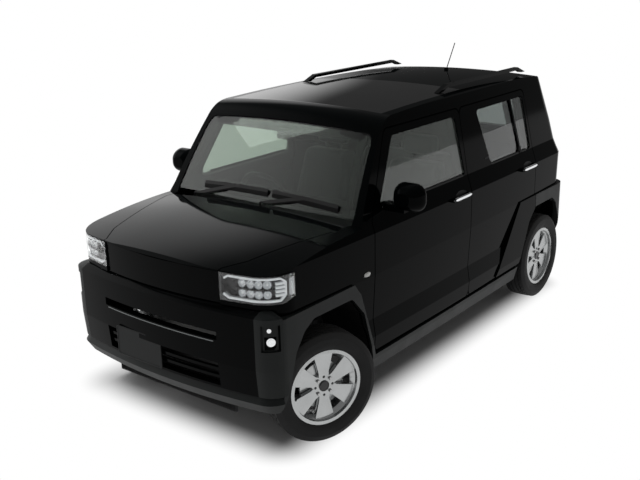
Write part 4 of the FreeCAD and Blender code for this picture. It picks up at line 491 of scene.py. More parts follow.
def ring_tree():
    """Copies of a pattern object set round a circle in the XZ plane, facing outwards along Y."""
    tree, given = empty_group("ring_of_pieces", "GeometryNodeTree", (
        ("Pattern", "Object", None), ("Count", "Int", None), ("Radius", "Float", None),
        ("Finish", "Material", None)), (("Geometry", "Geometry"),))
    circle = add_node(tree, "GeometryNodeMeshCircle",
                      {"Vertices": given["Count"], "Radius": given["Radius"]})
    stand = add_node(tree, "GeometryNodeTransform", {"Geometry": circle["Mesh"],
                                                     "Rotation": (math.pi / 2, math.pi / 4, 0)})
    return close_tree(tree, given, stand["Geometry"])


def grown_from(tree, values, name, material, place, body):
    """Run a tree with its inputs set, and keep the result as one plain mesh in its place on a body."""
    holder = bpy.data.objects.new(name, bpy.data.meshes.new(name))
    scene.collection.objects.link(holder)
    maker = holder.modifiers.new("maker", "NODES")
    maker.node_group = tree
    for item in tree.interface.items_tree:
        if item.in_out == "INPUT":
            maker[item.identifier] = values[item.name]
    mesh = applied(holder)
    mesh.transform(place)
    mesh.materials.clear()
    mesh.materials.append(material)
    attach(holder, body)
    return holder


def turned(profile_points, count):
    """Points and faces of a profile (radius, height) turned about the Y axis, its ends closed."""
    columns = []
    for k in range(count):
        angle = 2 * math.pi * k / count
        columns.append([Vector((radius * math.cos(angle), height, radius * math.sin(angle)))
                        for radius, height in profile_points])
    points, faces = net(columns, around=True, across=False)
    rows = len(profile_points)
    faces.append(tuple(k * rows for k in range(count)))
    faces.append(tuple(k * rows + rows - 1 for k in range(count)))
    return points, faces


nut = new_object("nut_pattern", *turned(nut_profile, 6))
nut_ring = ring_tree()
for name, place in wheels:
    wheel = "wheel_" + name
    rim = merged_copy("rim_" + name, "spoked_rim_" + name, bevel_width)
    rim.data.materials.append(silver_paint)
    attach(rim, wheel)
    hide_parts("rim_" + name)
    front = place @ Matrix.Translation((0, face_level, 0))
    grown_from(nut_ring, {"Pattern": nut, "Count": nut_count, "Radius": lug_circle, "Finish": nut_steel},
               "nuts_" + name, nut_steel, front @ Matrix.Translation((0, -nut_seat, 0)), wheel)
    points, faces = turned(cap_profile, 32)
    add_mesh("hub_cap_" + name, [front @ p for p in points], faces, dark_cap, wheel, "gloss_plastic")
    points, faces = turned(valve_profile, 10)
    valve_place = place @ Matrix.Translation(valve_middle)
    add_mesh("valve_" + name, [valve_place @ p for p in points], faces, tyre_rubber, wheel, "tyre")
bpy.data.objects.remove(nut)

# Headlamps
# A clear lens closes a black housing; a white light guide runs round it with four short bars on the outer
# side, and two rows of bright reflectors stand between. The unit is screwed to the front frame.
lamp_foot = 0.8475
lamp_head = 0.9845
lamp_height = lamp_head - lamp_foot
lamp_middle = (1.30, 0.35)
lamp_turn = (10.3, 68.6)
lamp_level = 0.93
outline_step = 0.02
shell_front = 0.0035
shell_back = 0.048
window_back = 0.042
# outlines as shares of the lamp's length and height
lamp_shell = [(0, 0.04), (0, 0.96), (0.012, 1), (0.99, 1), (1, 0.98), (1, 0.2), (0.84, 0), (0.012, 0)]
lamp_window = [(0.03, 0.20), (0.03, 0.79), (0.105, 0.965), (0.805, 0.965), (0.885, 0.80), (0.885, 0.26),
               (0.80, 0.05), (0.105, 0.05)]
lamp_guide = [(0.045, 0.235), (0.12, 0.11), (0.79, 0.11), (0.862, 0.30), (0.862, 0.76), (0.79, 0.905),
              (0.12, 0.905), (0.045, 0.77)]
guide_half = 0.0048
guide_front = 0.004
guide_back = 0.014
lamp_bars = (0.30, 0.44, 0.58, 0.72)
bar_half = 0.036
reflector_rows = (0.34, 0.70)
reflector_shares = (0.30, 0.41, 0.52, 0.63)
reflector_depth = 0.014
reflector_half = (0.0205, 0.0215)
# share of the half size, height
reflector_rings = ((1.0, 0), (0.86, -0.008), (0.62, -0.0135), (0.36, -0.0165), (0.12, -0.0175))
bulb_profile = [(0.0065, -0.014), (0.0065, -0.004), (0.0045, -0.0005), (0.001, 0.0006)]
lens_cut = 0.84
lens_rise = 0.026
# heights over the lamp's foot, first and last share of its length, steps, front and back depth
lamp_back = (0.002, lamp_height - 0.002, 0.02, 0.92, 20, 0.040, 0.046)
dark_bar = (0.0665, 0.0735, 0.2, 0.7, 12, 0.006, 0.038)
wrap_place = (0.036, 0.118, 0.905, 0.98, 6, 0.003, 0.006)
bar_place = (0.73, 0.855, 6, 0.005, 0.02)
lens_place = (0, 1, 48, 0.0, 0.0022)


def tree_of(node_name):
    """Search tree of a CAD node's faces."""
    mesh = nodes[node_name].data
    return BVHTree.FromPolygons([v.co for v in mesh.vertices], [tuple(p.vertices) for p in mesh.polygons])


def hit_on(tree, start, ray):
    """Where a ray first meets a search tree's faces, or None."""
    return tree.ray_cast(Vector(start), Vector(ray))[0]


def plan_path(node_name, middle, turns, level, steps=80):
    """Follow a node's outside in plan; gives its length and a function from length, height and depth."""
    tree = tree_of(node_name)
    spots = []
    for k in range(steps + 1):
        angle = math.radians(turns[0] + (turns[1] - turns[0]) * k / steps)
        out = Vector((math.cos(angle), math.sin(angle), 0))
        hit = hit_on(tree, Vector((*middle, level)) + out * 2, -out)
        if hit is not None:
            spots.append(hit.to_2d())
    lengths = [0.0]
    for before, after in zip(spots, spots[1:]):
        lengths.append(lengths[-1] + (after - before).length)

    def place(length, height, depth):
        length = min(max(length, 0), lengths[-1])
        k = next((i for i in range(len(lengths) - 2) if lengths[i + 1] >= length), len(lengths) - 2)
        share = (length - lengths[k]) / max(lengths[k + 1] - lengths[k], 1e-9)
        spot = spots[k].lerp(spots[k + 1], share)
        ahead = spots[min(k + 3, len(spots) - 1)] - spots[max(k - 2, 0)]
        inward = Vector((-ahead.y, ahead.x)).normalized()
        if inward.dot(Vector(middle) - spot) < 0:
            inward = -inward
        spot = spot + inward * depth
        return Vector((spot.x, spot.y, height))
    return lengths[-1], place


def mirrored(points, side):
    """Points given for the car's left, on the named side."""
    return [Vector((p.x, p.y * flips[side], p.z)) for p in points]


def add_side(name, side, shape, material, body, slot, smooth=True):
    """A piece given for the car's left, made on the named side."""
    points, faces = shape
    return add_mesh(name + side, mirrored(points, side), faces, material, body, slot, smooth)


def matched(outline, other, most):
    """Two outlines with the same corners, given the same points between them, at most this far apart."""
    first, second = [], []
    for k in range(len(outline)):
        after = (k + 1) % len(outline)
        count = max(1, math.ceil(abs(outline[after][0] - outline[k][0]) / most))
        for i in range(count):
            share = i / count
            first.append(tuple(a + (b - a) * share for a, b in zip(outline[k], outline[after])))
            second.append(tuple(a + (b - a) * share for a, b in zip(other[k], other[after])))
    return first, second


def tube(rows, first=True):
    """A net of closed rows with a face over its last row, and over its first one if asked."""
    points, faces = net(rows)
    faces.append(tuple(range(len(points) - len(rows[-1]), len(points))))
    if first:
        faces.append(tuple(range(len(rows[0]))))
    return points, faces


def loop(count, power=1):
    """Cosines and sines round an outline: power 1 gives a circle, towards 0 it grows square."""
    result = []
    for k in range(count):
        angle = 2 * math.pi * k / count
        parts = math.cos(angle), math.sin(angle)
        result.append([math.copysign(abs(part) ** power, part) for part in parts])
    return result


def joined(parts):
    """Several (points, faces) made one."""
    points, faces = [], []
    for some_points, some_faces in parts:
        faces += [tuple(i + len(points) for i in face) for face in some_faces]
        points += some_points
    return points, faces


def point_tree():
    """Copies of a pattern set on a guide's points, their Z along 'facing' and their X along 'along'."""
    tree, given = empty_group("pieces_on_points", "GeometryNodeTree", (
        ("Guide", "Object", None), ("Pattern", "Object", None), ("Size", "Float", None),
        ("Finish", "Material", None)), (("Geometry", "Geometry"),))
    guide = add_node(tree, "GeometryNodeObjectInfo", {"Object": given["Guide"]})["Geometry"]
    rotation = (0, 0, 0)
    for attribute, axis, pivot in (("facing", "Z", "AUTO"), ("along", "X", "Z")):
        direction = add_node(tree, "GeometryNodeInputNamedAttribute", {"Name": attribute},
                             data_type="FLOAT_VECTOR")["Attribute"]
        rotation = add_node(tree, "FunctionNodeAlignRotationToVector",
                            {"Rotation": rotation, "Vector": direction},
                            axis=axis, pivot_axis=pivot)["Rotation"]
    return close_tree(tree, given, guide, Rotation=rotation, Scale=given["Size"])


on_points = point_tree()


def set_on_points(spots, pattern, name, material, body, smooth=True):
    """Set a pattern on spots of (point, facing, along) and keep the result as one piece."""
    mesh = bpy.data.meshes.new(name + "_guide")
    mesh.from_pydata([tuple(spot[0]) for spot in spots], [], [])
    for index, label in ((1, "facing"), (2, "along")):
        values = mesh.attributes.new(label, "FLOAT_VECTOR", "POINT")
        values.data.foreach_set("vector", [c for spot in spots for c in spot[index]])
    guide = bpy.data.objects.new(name + "_guide", mesh)
    scene.collection.objects.link(guide)
    piece = grown_from(on_points, {"Guide": guide, "Pattern": pattern, "Size": 1.0, "Finish": material},
                       name, material, Matrix(), body)
    bpy.data.objects.remove(guide)
    if smooth:
        soften(piece.data)
    return piece


lamp_length, on_lamp = plan_path("headlamps", lamp_middle, lamp_turn, lamp_level)


def lamp_spot(share, level, depth):
    """Point of the lamp at shares of its length and height, this deep behind its face."""
    return on_lamp(share * lamp_length, lamp_foot + level * lamp_height, depth)


def lamp_slab(low, high, first, last, steps, front, back, rows=1):
    """Closed plate between two shares of the lamp's length; low (or a function) and high are its heights."""
    sections = []
    for k in range(steps + 1):
        share = first + (last - first) * k / steps
        foot = low(share) if callable(low) else low
        levels = [foot + (high - foot) * row / rows for row in range(rows + 1)]
        edge = [(level, front) for level in levels] + [(level, back) for level in reversed(levels)]
        sections.append([on_lamp(share * lamp_length, lamp_foot + level, depth) for level, depth in edge])
    return tube(sections)


lens_clear = finish("lens_clear", (0.93, 0.95, 0.96), (0.9, 0.93, 0.94), (0.0, 0.015), grain=5, bump=0.0,
                    Transmission_Weight=1, IOR=1.4, Alpha=0.3)
lamp_black = finish("lamp_black", (0.006, 0.006, 0.007), (0.01, 0.01, 0.011), (0.2, 0.32), grain=600,
                    bump=0.1)
guide_white = finish("guide_white", (0.86, 0.88, 0.88), (0.78, 0.8, 0.8), (0.12, 0.2), grain=900, bump=0.1,
                     Emission_Color=(0.9, 0.95, 1, 1), Emission_Strength=0.12)
lamp_chrome = finish("lamp_chrome", (0.86, 0.87, 0.88), (0.72, 0.73, 0.74), (0.04, 0.12), grain=60,
                     bump=0.12, depth=0.0008, Metallic=1)
lamp_grey = finish("lamp_grey", (0.42, 0.44, 0.45), (0.26, 0.28, 0.29), (0.15, 0.3), grain=260, bump=0.6,
                   depth=0.0006, cloud=60, Metallic=0.6)
rows = [[Vector((reflector_half[0] * spread * c, reflector_half[1] * spread * s, z)) for c, s in loop(16)]
        for spread, z in reflector_rings]
cup = new_object("cup_pattern", *tube(rows, first=False))
points, faces = turned(bulb_profile, 12)
bulb = new_object("bulb_pattern", [p.xzy for p in points], faces)

outer, inner = matched(lamp_shell, lamp_window, outline_step)
shell = [[lamp_spot(s, l, depth) for s, l in outline]
         for outline, depth in ((outer, shell_front), (inner, shell_front), (inner, window_back),
                                (outer, shell_back))]
housing = joined([net(shell + [shell[0]]), lamp_slab(*lamp_back), lamp_slab(*dark_bar)])
guide_path = matched(lamp_guide, lamp_guide, outline_step)[0][:-1]
flat = [Vector((s * lamp_length, l * lamp_height)) for s, l in guide_path]
guide_rows = []
for k, spot in enumerate(flat):
    ahead = flat[min(k + 1, len(flat) - 1)] - flat[max(k - 1, 0)]
    aside = Vector((-ahead.y, ahead.x)).normalized() * guide_half
    guide_rows.append([on_lamp(at.x, lamp_foot + at.y, depth) for at, depth in (
        (spot - aside, guide_front), (spot + aside, guide_front), (spot + aside, guide_back),
        (spot - aside, guide_back))])
bars = [lamp_slab((bar - bar_half) * lamp_height, (bar + bar_half) * lamp_height, *bar_place)
        for bar in lamp_bars]
guide = joined([tube(guide_rows)] + bars)
wrap = lamp_slab(*wrap_place)
lens = lamp_slab(lambda share: max(0, (share - lens_cut) / (1 - lens_cut)) * lens_rise, lamp_height,
                 *lens_place, rows=2)
reflector_spots = []
for level in reflector_rows:
    for share in reflector_shares:
        out = (lamp_spot(share, level, 0) - lamp_spot(share, level, 0.02)).normalized()
        reflector_spots.append((lamp_spot(share, level, reflector_depth), out, Vector((0, 0, 1)).cross(out)))
for side in flips:
    add_side("lamp_housing_", side, housing, lamp_black, "chassis", "gloss_plastic")
    add_side("light_guide_", side, guide, guide_white, "chassis", "clear_lamp")
    add_side("side_reflector_", side, wrap, lamp_grey, "chassis", "clear_lamp")
    spots = [mirrored(spot, side) for spot in reflector_spots]
    set_on_points(spots, cup, "reflectors_" + side, lamp_chrome, "chassis")
    set_on_points(spots, bulb, "emitters_" + side, guide_white, "chassis")
    cover = add_side("lamp_lens_", side, lens, lens_clear, "chassis", "clear_lamp")
    if side == "left":
        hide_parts("headlamps")
bpy.data.objects.remove(cup)
bpy.data.objects.remove(bulb)

# Fog lamps
# Each sits deep in an upright recess of the bumper corner, with a small round marker lamp above it.
# Both are clear-lensed units clipped in from behind.
fog_foot = 0.6348
fog_head = 0.7652
fog_middle = (1.50, 0.60)
fog_turn = (24.0, 56.5)
fog_level = 0.70
fog_step = 0.05
fog_recess = [(0.10, 0.05), (0.10, 0.56), (0.86, 0.56), (0.86, 0.16), (0.72, 0.05)]
fog_shell = [(0.0, 0.0), (0.0, 1.0), (1.0, 1.0), (1.0, 0.0), (0.5, 0.0)]
# share and level on the panel, radius, depth
fog_rounds = ((0.52, 0.32, 0.0215, 0.012), (0.42, 0.80, 0.0105, 0.0015))
# share of the radius, height
fog_bowl = ((1, 0.003), (1, -0.002), (0.92, -0.002), (0.85, -0.006), (0.55, -0.0125), (0.15, -0.0145))
fog_dome = ((0.93, 0), (0.8, 0.003), (0.45, 0.005), (0.08, 0.0056))
fog_length, on_fog = plan_path("fog_lamps", fog_middle, fog_turn, fog_level, 40)


def fog_spot(share, level, depth):
    """Point of the corner panel at shares of its length and height, this deep behind its face."""
    return on_fog(share * fog_length, fog_foot + level * (fog_head - fog_foot), depth)


def round_parts(shape):
    """The same turned part of both round lamps, square to the corner panel."""
    parts = []
    for share, level, radius, depth in fog_rounds:
        centre = fog_spot(share, level, depth)
        out = (fog_spot(share, level, 0) - fog_spot(share, level, 0.02)).normalized()
        aside = Vector((0, 0, 1)).cross(out).normalized()
        points, faces = turned([(radius * spread, height) for spread, height in shape], 24)
        parts.append(([centre + aside * p.x + out * p.y + out.cross(aside) * p.z for p in points], faces))
    return joined(parts)


outer, inner = matched(fog_shell, fog_recess, fog_step)
panel = tube([[fog_spot(s, l, depth) for s, l in outline] for outline, depth in (
    (outer, 0.020), (outer, 0.001), (inner, 0.001), (inner, 0.030))], first=False)
bowls = round_parts(fog_bowl)
domes = round_parts(fog_dome)
for side in flips:
    piece = add_side("fog_panel_", side, panel, grained_plastic, "chassis", "dark_plastic")
    add_side("fog_bowls_", side, bowls, lamp_chrome, "chassis", "clear_lamp")
    add_side("fog_lenses_", side, domes, lens_clear, "chassis", "clear_lamp")
    if side == "left":
        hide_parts("fog_lamps")

# Radiator behind the openings
# A black core of thin upright fins between two tanks, held by the lower crossmember, shows through the
# openings of the bumper.
core_x = 1.585
core_half = 0.43
core_foot = 0.396
core_head = 0.560
fin_step = 0.0095
fin_corners = [(-0.0006, -0.010), (0.0006, -0.010), (0.0006, 0.010), (-0.0006, 0.010)]
fin_count = int(core_half * 2 / fin_step) + 1


def rounded_block(low, high, bevel, segments=2):
    """Points and faces of a block with rounded edges."""
    shape = bmesh.new()
    bmesh.ops.create_cube(shape, size=1)
    for v in shape.verts:
        v.co = Vector([low[i] + (high[i] - low[i]) * (v.co[i] + 0.5) for i in range(3)])
    bmesh.ops.bevel(shape, geom=shape.edges[:], offset=bevel, segments=segments, affect="EDGES", profile=0.5)
    shape.verts.index_update()
    points = [v.co.copy() for v in shape.verts]
    faces = [tuple(v.index for v in face.verts) for face in shape.faces]
    shape.free()
    return points, faces


def blocks(*shapes):
    """Several rounded blocks made one, each given as (low corner, high corner, bevel)."""
    return joined([rounded_block(*shape) for shape in shapes])


fin_black = finish("fin_black", (0.004, 0.004, 0.004), (0.008, 0.008, 0.008), (0.5, 0.7), grain=500,
                   bump=0.3)
fin = new_object("fin_pattern", *tube([[Vector((x, z, y)) for x, y in fin_corners]
                                       for z in (0, core_head - core_foot)]))
fin_spots = [(Vector((core_x, -core_half + fin_step * k, core_foot)), Vector((1, 0, 0)), Vector((0, -1, 0)))
             for k in range(fin_count)]
set_on_points(fin_spots, fin, "radiator_fins", fin_black, "chassis", smooth=False)
bpy.data.objects.remove(fin)
core = blocks(
    ((core_x - 0.022, -core_half - 0.02, core_foot - 0.002),
     (core_x - 0.012, core_half + 0.02, core_head + 0.002), 0.003),
    ((core_x - 0.02, -core_half - 0.03, core_foot), (core_x + 0.008, -core_half - 0.002, core_head), 0.005),
    ((core_x - 0.02, core_half + 0.002, core_foot), (core_x + 0.008, core_half + 0.03, core_head), 0.005))
add_mesh("radiator_core", *core, fin_black, "chassis", "iron")

# Number plates
# Blank pressed plates with a raised rim, dark in front and pale at the back, each on a plastic backing.
plate_half = 0.168
plate_height = 0.164
plate_rim = 0.008
plate_corner = 0.014
corner_steps = 4
# inset from the edge, setback from the face
plate_rings = ((0, 0.0065), (0, 0.0006), (0.0015, 0), (plate_rim * 0.7, 0), (plate_rim * 0.8, 0.0016),
               (plate_rim, 0.0016))
front_plate = (1.6965, -0.142, 0.398)
bracket_reach = 0.09
bracket_half = 0.02
plate_dark = finish("plate_dark", (0.006, 0.007, 0.007), (0.009, 0.010, 0.010), (0.4, 0.55), grain=300,
                    bump=0.15, Specular_IOR_Level=0.15)
plate_pale = finish("plate_pale", (0.72, 0.73, 0.72), (0.66, 0.67, 0.66), (0.35, 0.5), grain=300, bump=0.15)


def plate_piece(front_x, middle_y, foot, facing):
    """A plate with a rim pressed up along its edge, its face towards facing along X."""
    reach_y = plate_half - plate_corner
    head = plate_height - plate_corner
    rows = []
    for inset, back in plate_rings:
        radius = max(plate_corner - inset, 0.002)
        row = []
        for quarter, y, z in ((2, -reach_y, plate_corner), (3, reach_y, plate_corner), (0, reach_y, head),
                              (1, -reach_y, head)):
            for k in range(corner_steps + 1):
                angle = math.pi / 2 * (quarter + k / corner_steps)
                row.append(Vector((front_x - facing * back, middle_y + y + radius * math.cos(angle),
                                   foot + z + radius * math.sin(angle))))
        rows.append(row)
    return tube(rows)


add_mesh("front_plate", *plate_piece(*front_plate, 1), plate_dark, "chassis", "gloss_plastic")
bracket_places = [front_plate[1] - bracket_reach, front_plate[1] + bracket_reach]
brackets = blocks(*(((1.640, y - bracket_half, 0.43), (1.6905, y + bracket_half, 0.53), 0.003)
                    for y in bracket_places))
add_mesh("plate_brackets", *brackets, grained_plastic, "chassis", "dark_plastic")

# Trim of the front bumper
# A thin lip closes the foot of the upper opening, moulded with the bumper; its pale satin colour is a
# painted highlight along the lip's edge.
bumper_front = 1.6975
lip_foot = 0.6345
lip_height = 0.0085
lip_half = 0.385
lip_steps = 40
lip_stand = 0.0012
lip_level = 0.638
# setback from the bumper's face, height over the lip's foot
lip_section = ((0.012, 0), (-lip_stand, 0.0015), (-lip_stand, lip_height - 0.002), (0.012, lip_height))
# pale satin grey: on the bumper lip a painted highlight, on the dashboard's vent frames the trim's own
# colour
satin_trim = finish("satin_trim", (0.16, 0.17, 0.17), (0.12, 0.13, 0.13), (0.22, 0.32), grain=700, bump=0.1,
                    Metallic=0.5)
bumper_tree = tree_of("front_bumper")
lip_rows = []
for k in range(lip_steps + 1):
    y = -lip_half + 2 * lip_half * k / lip_steps
    face = min(hit_on(bumper_tree, (3, y, lip_level), (-1, 0, 0)).x, bumper_front)
    lip_rows.append([Vector((min(face - back, bumper_front), y, lip_foot + up)) for back, up in lip_section])
add_mesh("bumper_lip", *tube(lip_rows), satin_trim, "chassis", "gloss_plastic")

# Door handles
# Chromed pull bars over the moulded cups of the doors, screwed from inside.
handle_places = (("front", -0.1845, 0.0305), ("rear", -1.0945, -0.8795))
handle_foot = 0.9955
handle_head = 0.0255
handle_middle = handle_foot + handle_head / 2
handle_inner = 0.7460
handle_outer = 0.7580
handle_over = 0.002
handle_steps = 28
end_taper = 0.35
door_face = 0.7245
cup_share = 0.42
cup_half = (0.072, 0.031)
cup_level = handle_foot + 0.014
cup_reach = 0.735
cup_start = 0.7445
# share of the half size, stand-off from the skin
cup_rings = ((1.0, 0.0), (0.97, 0.0011), (0.8, 0.0004), (0.02, 0.0003))
chrome = finish("chrome", (0.82, 0.83, 0.84), (0.74, 0.75, 0.76), (0.05, 0.1), grain=500, bump=0.03,
                Metallic=1)
cup_black = finish("cup_black", (0.003, 0.003, 0.0032), (0.005, 0.005, 0.005), (0.3, 0.45), grain=600,
                   bump=0.1, Specular_IOR_Level=0.1)
for end, rear_x, front_x in handle_places:
    for side, flip in flips.items():
        door = end + "_door_" + side
        skin = tree_of(door)
        half = (handle_outer - handle_inner) / 2
        rows = []
        for k in range(handle_steps + 1):
            share = k / handle_steps
            x = rear_x - handle_over + (front_x - rear_x + 2 * handle_over) * share
            taper = 1 - end_taper * abs(2 * share - 1) ** 6
            rows.append([Vector((x, (handle_inner + half + half * out * taper) * flip,
                                 handle_middle + handle_head / 2 * taper * up))
                         for (_, out), (up, _) in zip(loop(12), loop(12, 0.7))])
        add_mesh("handle_bar_" + door, *tube(rows), chrome, door, "gloss_plastic")
        rows = []
        for spread, stand in cup_rings:
            row = []
            for along, up in loop(32):
                x = rear_x + (front_x - rear_x) * cup_share + cup_half[0] * spread * along
                z = cup_level + cup_half[1] * spread * up
                hit = hit_on(skin, (x, cup_start * flip, z), (0, -flip, 0))
                y = abs(hit.y) if hit is not None else door_face
                row.append(Vector((x, (min(y, cup_reach) + stand) * flip, z)))
            rows.append(row)
        add_mesh("handle_cup_" + door, *tube(rows, first=False), cup_black, door, "dark_plastic")

# Side marker lamps
# Small oval clear lamps pushed into the front fenders.
dome_profile = ((1.0, -0.002), (1.0, 0.0015), (0.9, 0.004), (0.6, 0.0058), (0.05, 0.0064))
marker_white = finish("marker_white", (0.8, 0.8, 0.76), (0.7, 0.7, 0.66), (0.08, 0.15), grain=400, bump=0.2,
                      Coat_Weight=0.6)


def laid_patch(name, node_name, middle, ray, across, half, shape, power, material, body, slot):
    """A patch laid on a CAD node along a ray: rings of a rounded outline, each with its stand-off."""
    tree = tree_of(node_name)
    ray = Vector(ray)
    across = Vector(across)
    up = across.cross(ray)
    rows = []
    for spread, stand in shape:
        row = []
        for c, s in loop(40, power):
            start = Vector(middle) + across * half[0] * spread * c + up * half[1] * spread * s
            hit = hit_on(tree, start - ray * 0.3, ray)
            if hit is None:
                hit = rows[-1][len(row)] if rows else start
            row.append(hit - ray * stand)
        rows.append(row)
    return add_mesh(name, *tube(rows), material, body, slot)


for side, flip in flips.items():
    laid_patch("side_marker_" + side, "fenders", (0.874, 0.75 * flip, 0.804), (0, -flip, 0), (1, 0, 0),
               (0.027, 0.0125), dome_profile, 0.8, marker_white, "chassis", "clear_lamp")

# Door mirrors
# The shells are painted; the glass is a silvered pane clipped on a motor plate in the rear opening.
mirror_middle = (0.824, 1.180)
mirror_half = (0.074, 0.058)
# share of the half size, X
mirror_rings = ((1.09, 0.6095), (1.09, 0.6075), (1.03, 0.6072), (1.0, 0.6078))
mirror_panes = ((0.98, 0.6072), (0.98, 0.6086))
mirror_silver = finish("mirror_silver", (0.9, 0.91, 0.92), (0.88, 0.89, 0.9), (0.0, 0.02), grain=20,
                       bump=0.0, Metallic=1)


def upright_rings(shape, middle, half, count, power):
    """Rings round a middle (Y, Z) in upright planes, each given as (share of the half size, X)."""
    return [[Vector((x, middle[0] + half[0] * spread * c, middle[1] + half[1] * spread * s))
             for c, s in loop(count, power)] for spread, x in shape]


mirror_frame = tube(upright_rings(mirror_rings, mirror_middle, mirror_half, 40, 0.5))
mirror_glass = tube(upright_rings(mirror_panes, mirror_middle, mirror_half, 40, 0.5))
for side in flips:
    door = "front_door_" + side
    add_side("mirror_frame_", side, mirror_frame, grained_plastic, door, "dark_plastic")
    add_side("mirror_glass_", side, mirror_glass, mirror_silver, door, "window_glass", smooth=False)

# Windscreen border, camera box and inner mirror
# A black ceramic band is fired on the glass round its edge; a camera box and the mirror hang at the top.
band_wide = 0.045
band_behind = 0.0012
band_thick = 0.0008
band_shift = 0.012
screen_rows = (1.098, 1.484)
screen_half = (0.604, 0.548)
up_steps = 24
across_steps = 30
frit_black = finish("frit_black", (0.004, 0.004, 0.004), (0.006, 0.006, 0.006), (0.25, 0.4), grain=500,
                    bump=0.05, Specular_IOR_Level=0.1)
screen_tree = tree_of("windscreen")


def behind_screen(y, z, deep):
    """A point behind the windscreen's inner face."""
    hit = None
    reach = abs(y)
    while hit is None:
        hit = hit_on(screen_tree, (0, math.copysign(reach, y), z), (1, 0, 0))
        reach -= 0.004
    return Vector((hit.x - deep, y, z))


levels = [screen_rows[0] + (screen_rows[1] - screen_rows[0]) * k / up_steps for k in range(up_steps + 1)]
halves = [screen_half[0] + (screen_half[1] - screen_half[0]) * k / up_steps for k in range(up_steps + 1)]
across = [2 * k / across_steps - 1 for k in range(1, across_steps)]
outline = [(-half, z) for half, z in zip(halves, levels)]
outline += [(halves[-1] * share, levels[-1]) for share in across]
outline += [(half, z) for half, z in zip(reversed(halves), reversed(levels))]
outline += [(-halves[0] * share, levels[0]) for share in across]
middle_z = sum(screen_rows) / 2
shrink_z = 1 - band_wide * 2.4 / (screen_rows[1] - screen_rows[0])
shrink_y = 1 - band_wide / screen_half[0]
inner = [(y * shrink_y, middle_z + band_shift + (z - middle_z) * shrink_z) for y, z in outline]
band_back = band_behind + band_thick
band = [[behind_screen(y, z, deep) for y, z in edge]
        for edge, deep in ((outline, band_behind), (inner, band_behind), (inner, band_back),
                           (outline, band_back))]
add_mesh("screen_border", *net(band, around=True), frit_black, "chassis", "dark_plastic")
camera_box = blocks(((0.560, -0.075, 1.425), (0.625, 0.075, 1.475), 0.008),
                    ((0.600, -0.052, 1.398), (0.650, 0.052, 1.430), 0.006),
                    ((0.515, -0.012, 1.40), (0.575, 0.012, 1.45), 0.004),
                    ((0.492, -0.118, 1.368), (0.512, 0.118, 1.432), 0.009))
add_mesh("camera_box", *camera_box, cup_black, "chassis", "dark_plastic")

# Wipers and cowl grille
# Pressed arms and rubber blades in satin black; the cowl has a row of slots for the fresh air.
slat_line = 0.927
slat_reach = 0.57
slat_count = 96
wiper_black = finish("wiper_black", (0.006, 0.006, 0.006), (0.01, 0.01, 0.01), (0.35, 0.5), grain=600,
                     bump=0.1, Specular_IOR_Level=0.2)
dress(wiper_black, "wipers")
cowl_tree = tree_of("cowl_panel")
slat = rounded_block((-0.008, -0.0022, -0.0004), (0.008, 0.0022, 0.0012), 0.0008, 1)
slat = new_object("slat_pattern", *slat)
slat_spots = []
for k in range(slat_count):
    y = slat_reach * (2 * k / (slat_count - 1) - 1)
    hit, normal = cowl_tree.ray_cast(Vector((slat_line, y, 2)), Vector((0, 0, -1)))[:2]
    if hit is not None and normal.z > 0.5:
        slat_spots.append((hit, normal, Vector((1, 0, 0))))
set_on_points(slat_spots, slat, "cowl_slats", wiper_black, "chassis")
bpy.data.objects.remove(slat)

# Window seals
# Extruded rubber strips along the foot of the side windows, pushed over the edge of the door skin.
seal_places = (("front", -0.165, 0.56), ("rear", -1.04, -0.455))
seal_steps = 24
seal_top = 1.16
seal_search = 90
skin_least = 0.67
# inset from the skin, height over its edge
seal_section = ((0.010, 0.001), (0.010, 0.008), (0.0, 0.008), (-0.0012, 0.005), (-0.0012, -0.004),
                (0.001, -0.006))
seal_rubber = finish("seal_rubber", (0.008, 0.008, 0.008), (0.012, 0.012, 0.012), (0.5, 0.65), grain=400,
                     bump=0.2, Specular_IOR_Level=0.15)


def skin_edge(skin, x, flip):
    """The highest point of a door's skin under its window, or None."""
    for step in range(seal_search):
        hit = hit_on(skin, (x, 2 * flip, seal_top - step * 0.001), (0, -flip, 0))
        if hit is not None and abs(hit.y) > skin_least:
            return hit
    return None


for end, rear_x, front_x in seal_places:
    for side, flip in flips.items():
        door = end + "_door_" + side
        skin = tree_of(door)
        rows = []
        for k in range(seal_steps + 1):
            x = rear_x + (front_x - rear_x) * k / seal_steps
            edge = skin_edge(skin, x, flip)
            if edge is not None:
                rows.append([Vector((x, edge.y - inset * flip, edge.z + up)) for inset, up in seal_section])
        add_mesh("window_seal_" + door, *tube(rows), seal_rubber, door, "dark_plastic")

# Tail lamps
# Upright red units wrapped round the rear corners, with a rib pattern moulded inside and a clear strip
# for the reversing light.
strip_shape = ((1.0, -0.0015), (1.0, 0.0006), (0.94, 0.0012), (0.1, 0.0014))
lamp_red = finish("lamp_red", (0.36, 0.006, 0.008), (0.24, 0.004, 0.006), (0.06, 0.14), grain=90, bump=0.5,
                  depth=0.0012, cloud=40, Coat_Weight=0.8, Transmission_Weight=0.25)
tail_lens = merged_copy("tail_lamps", "tail_lenses", 0.0025, 3, 30)
tail_lens.data.materials.append(lamp_red)
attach(tail_lens, "chassis")
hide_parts("tail_lamps")
for side, flip in flips.items():
    laid_patch("reversing_strip_" + side, "tail_lamps", (-1.7, 0.645 * flip, 0.915), (1, 0, 0), (0, 1, 0),
               (0.031, 0.012), strip_shape, 0.35, marker_white, "chassis", "clear_lamp")
    laid_patch("bumper_reflector_" + side, "rear_bumper", (-1.8, 0.56 * flip, 0.44), (1, 0, 0), (0, 1, 0),
               (0.052, 0.013), strip_shape, 0.3, lamp_red, "chassis", "red_lamp")

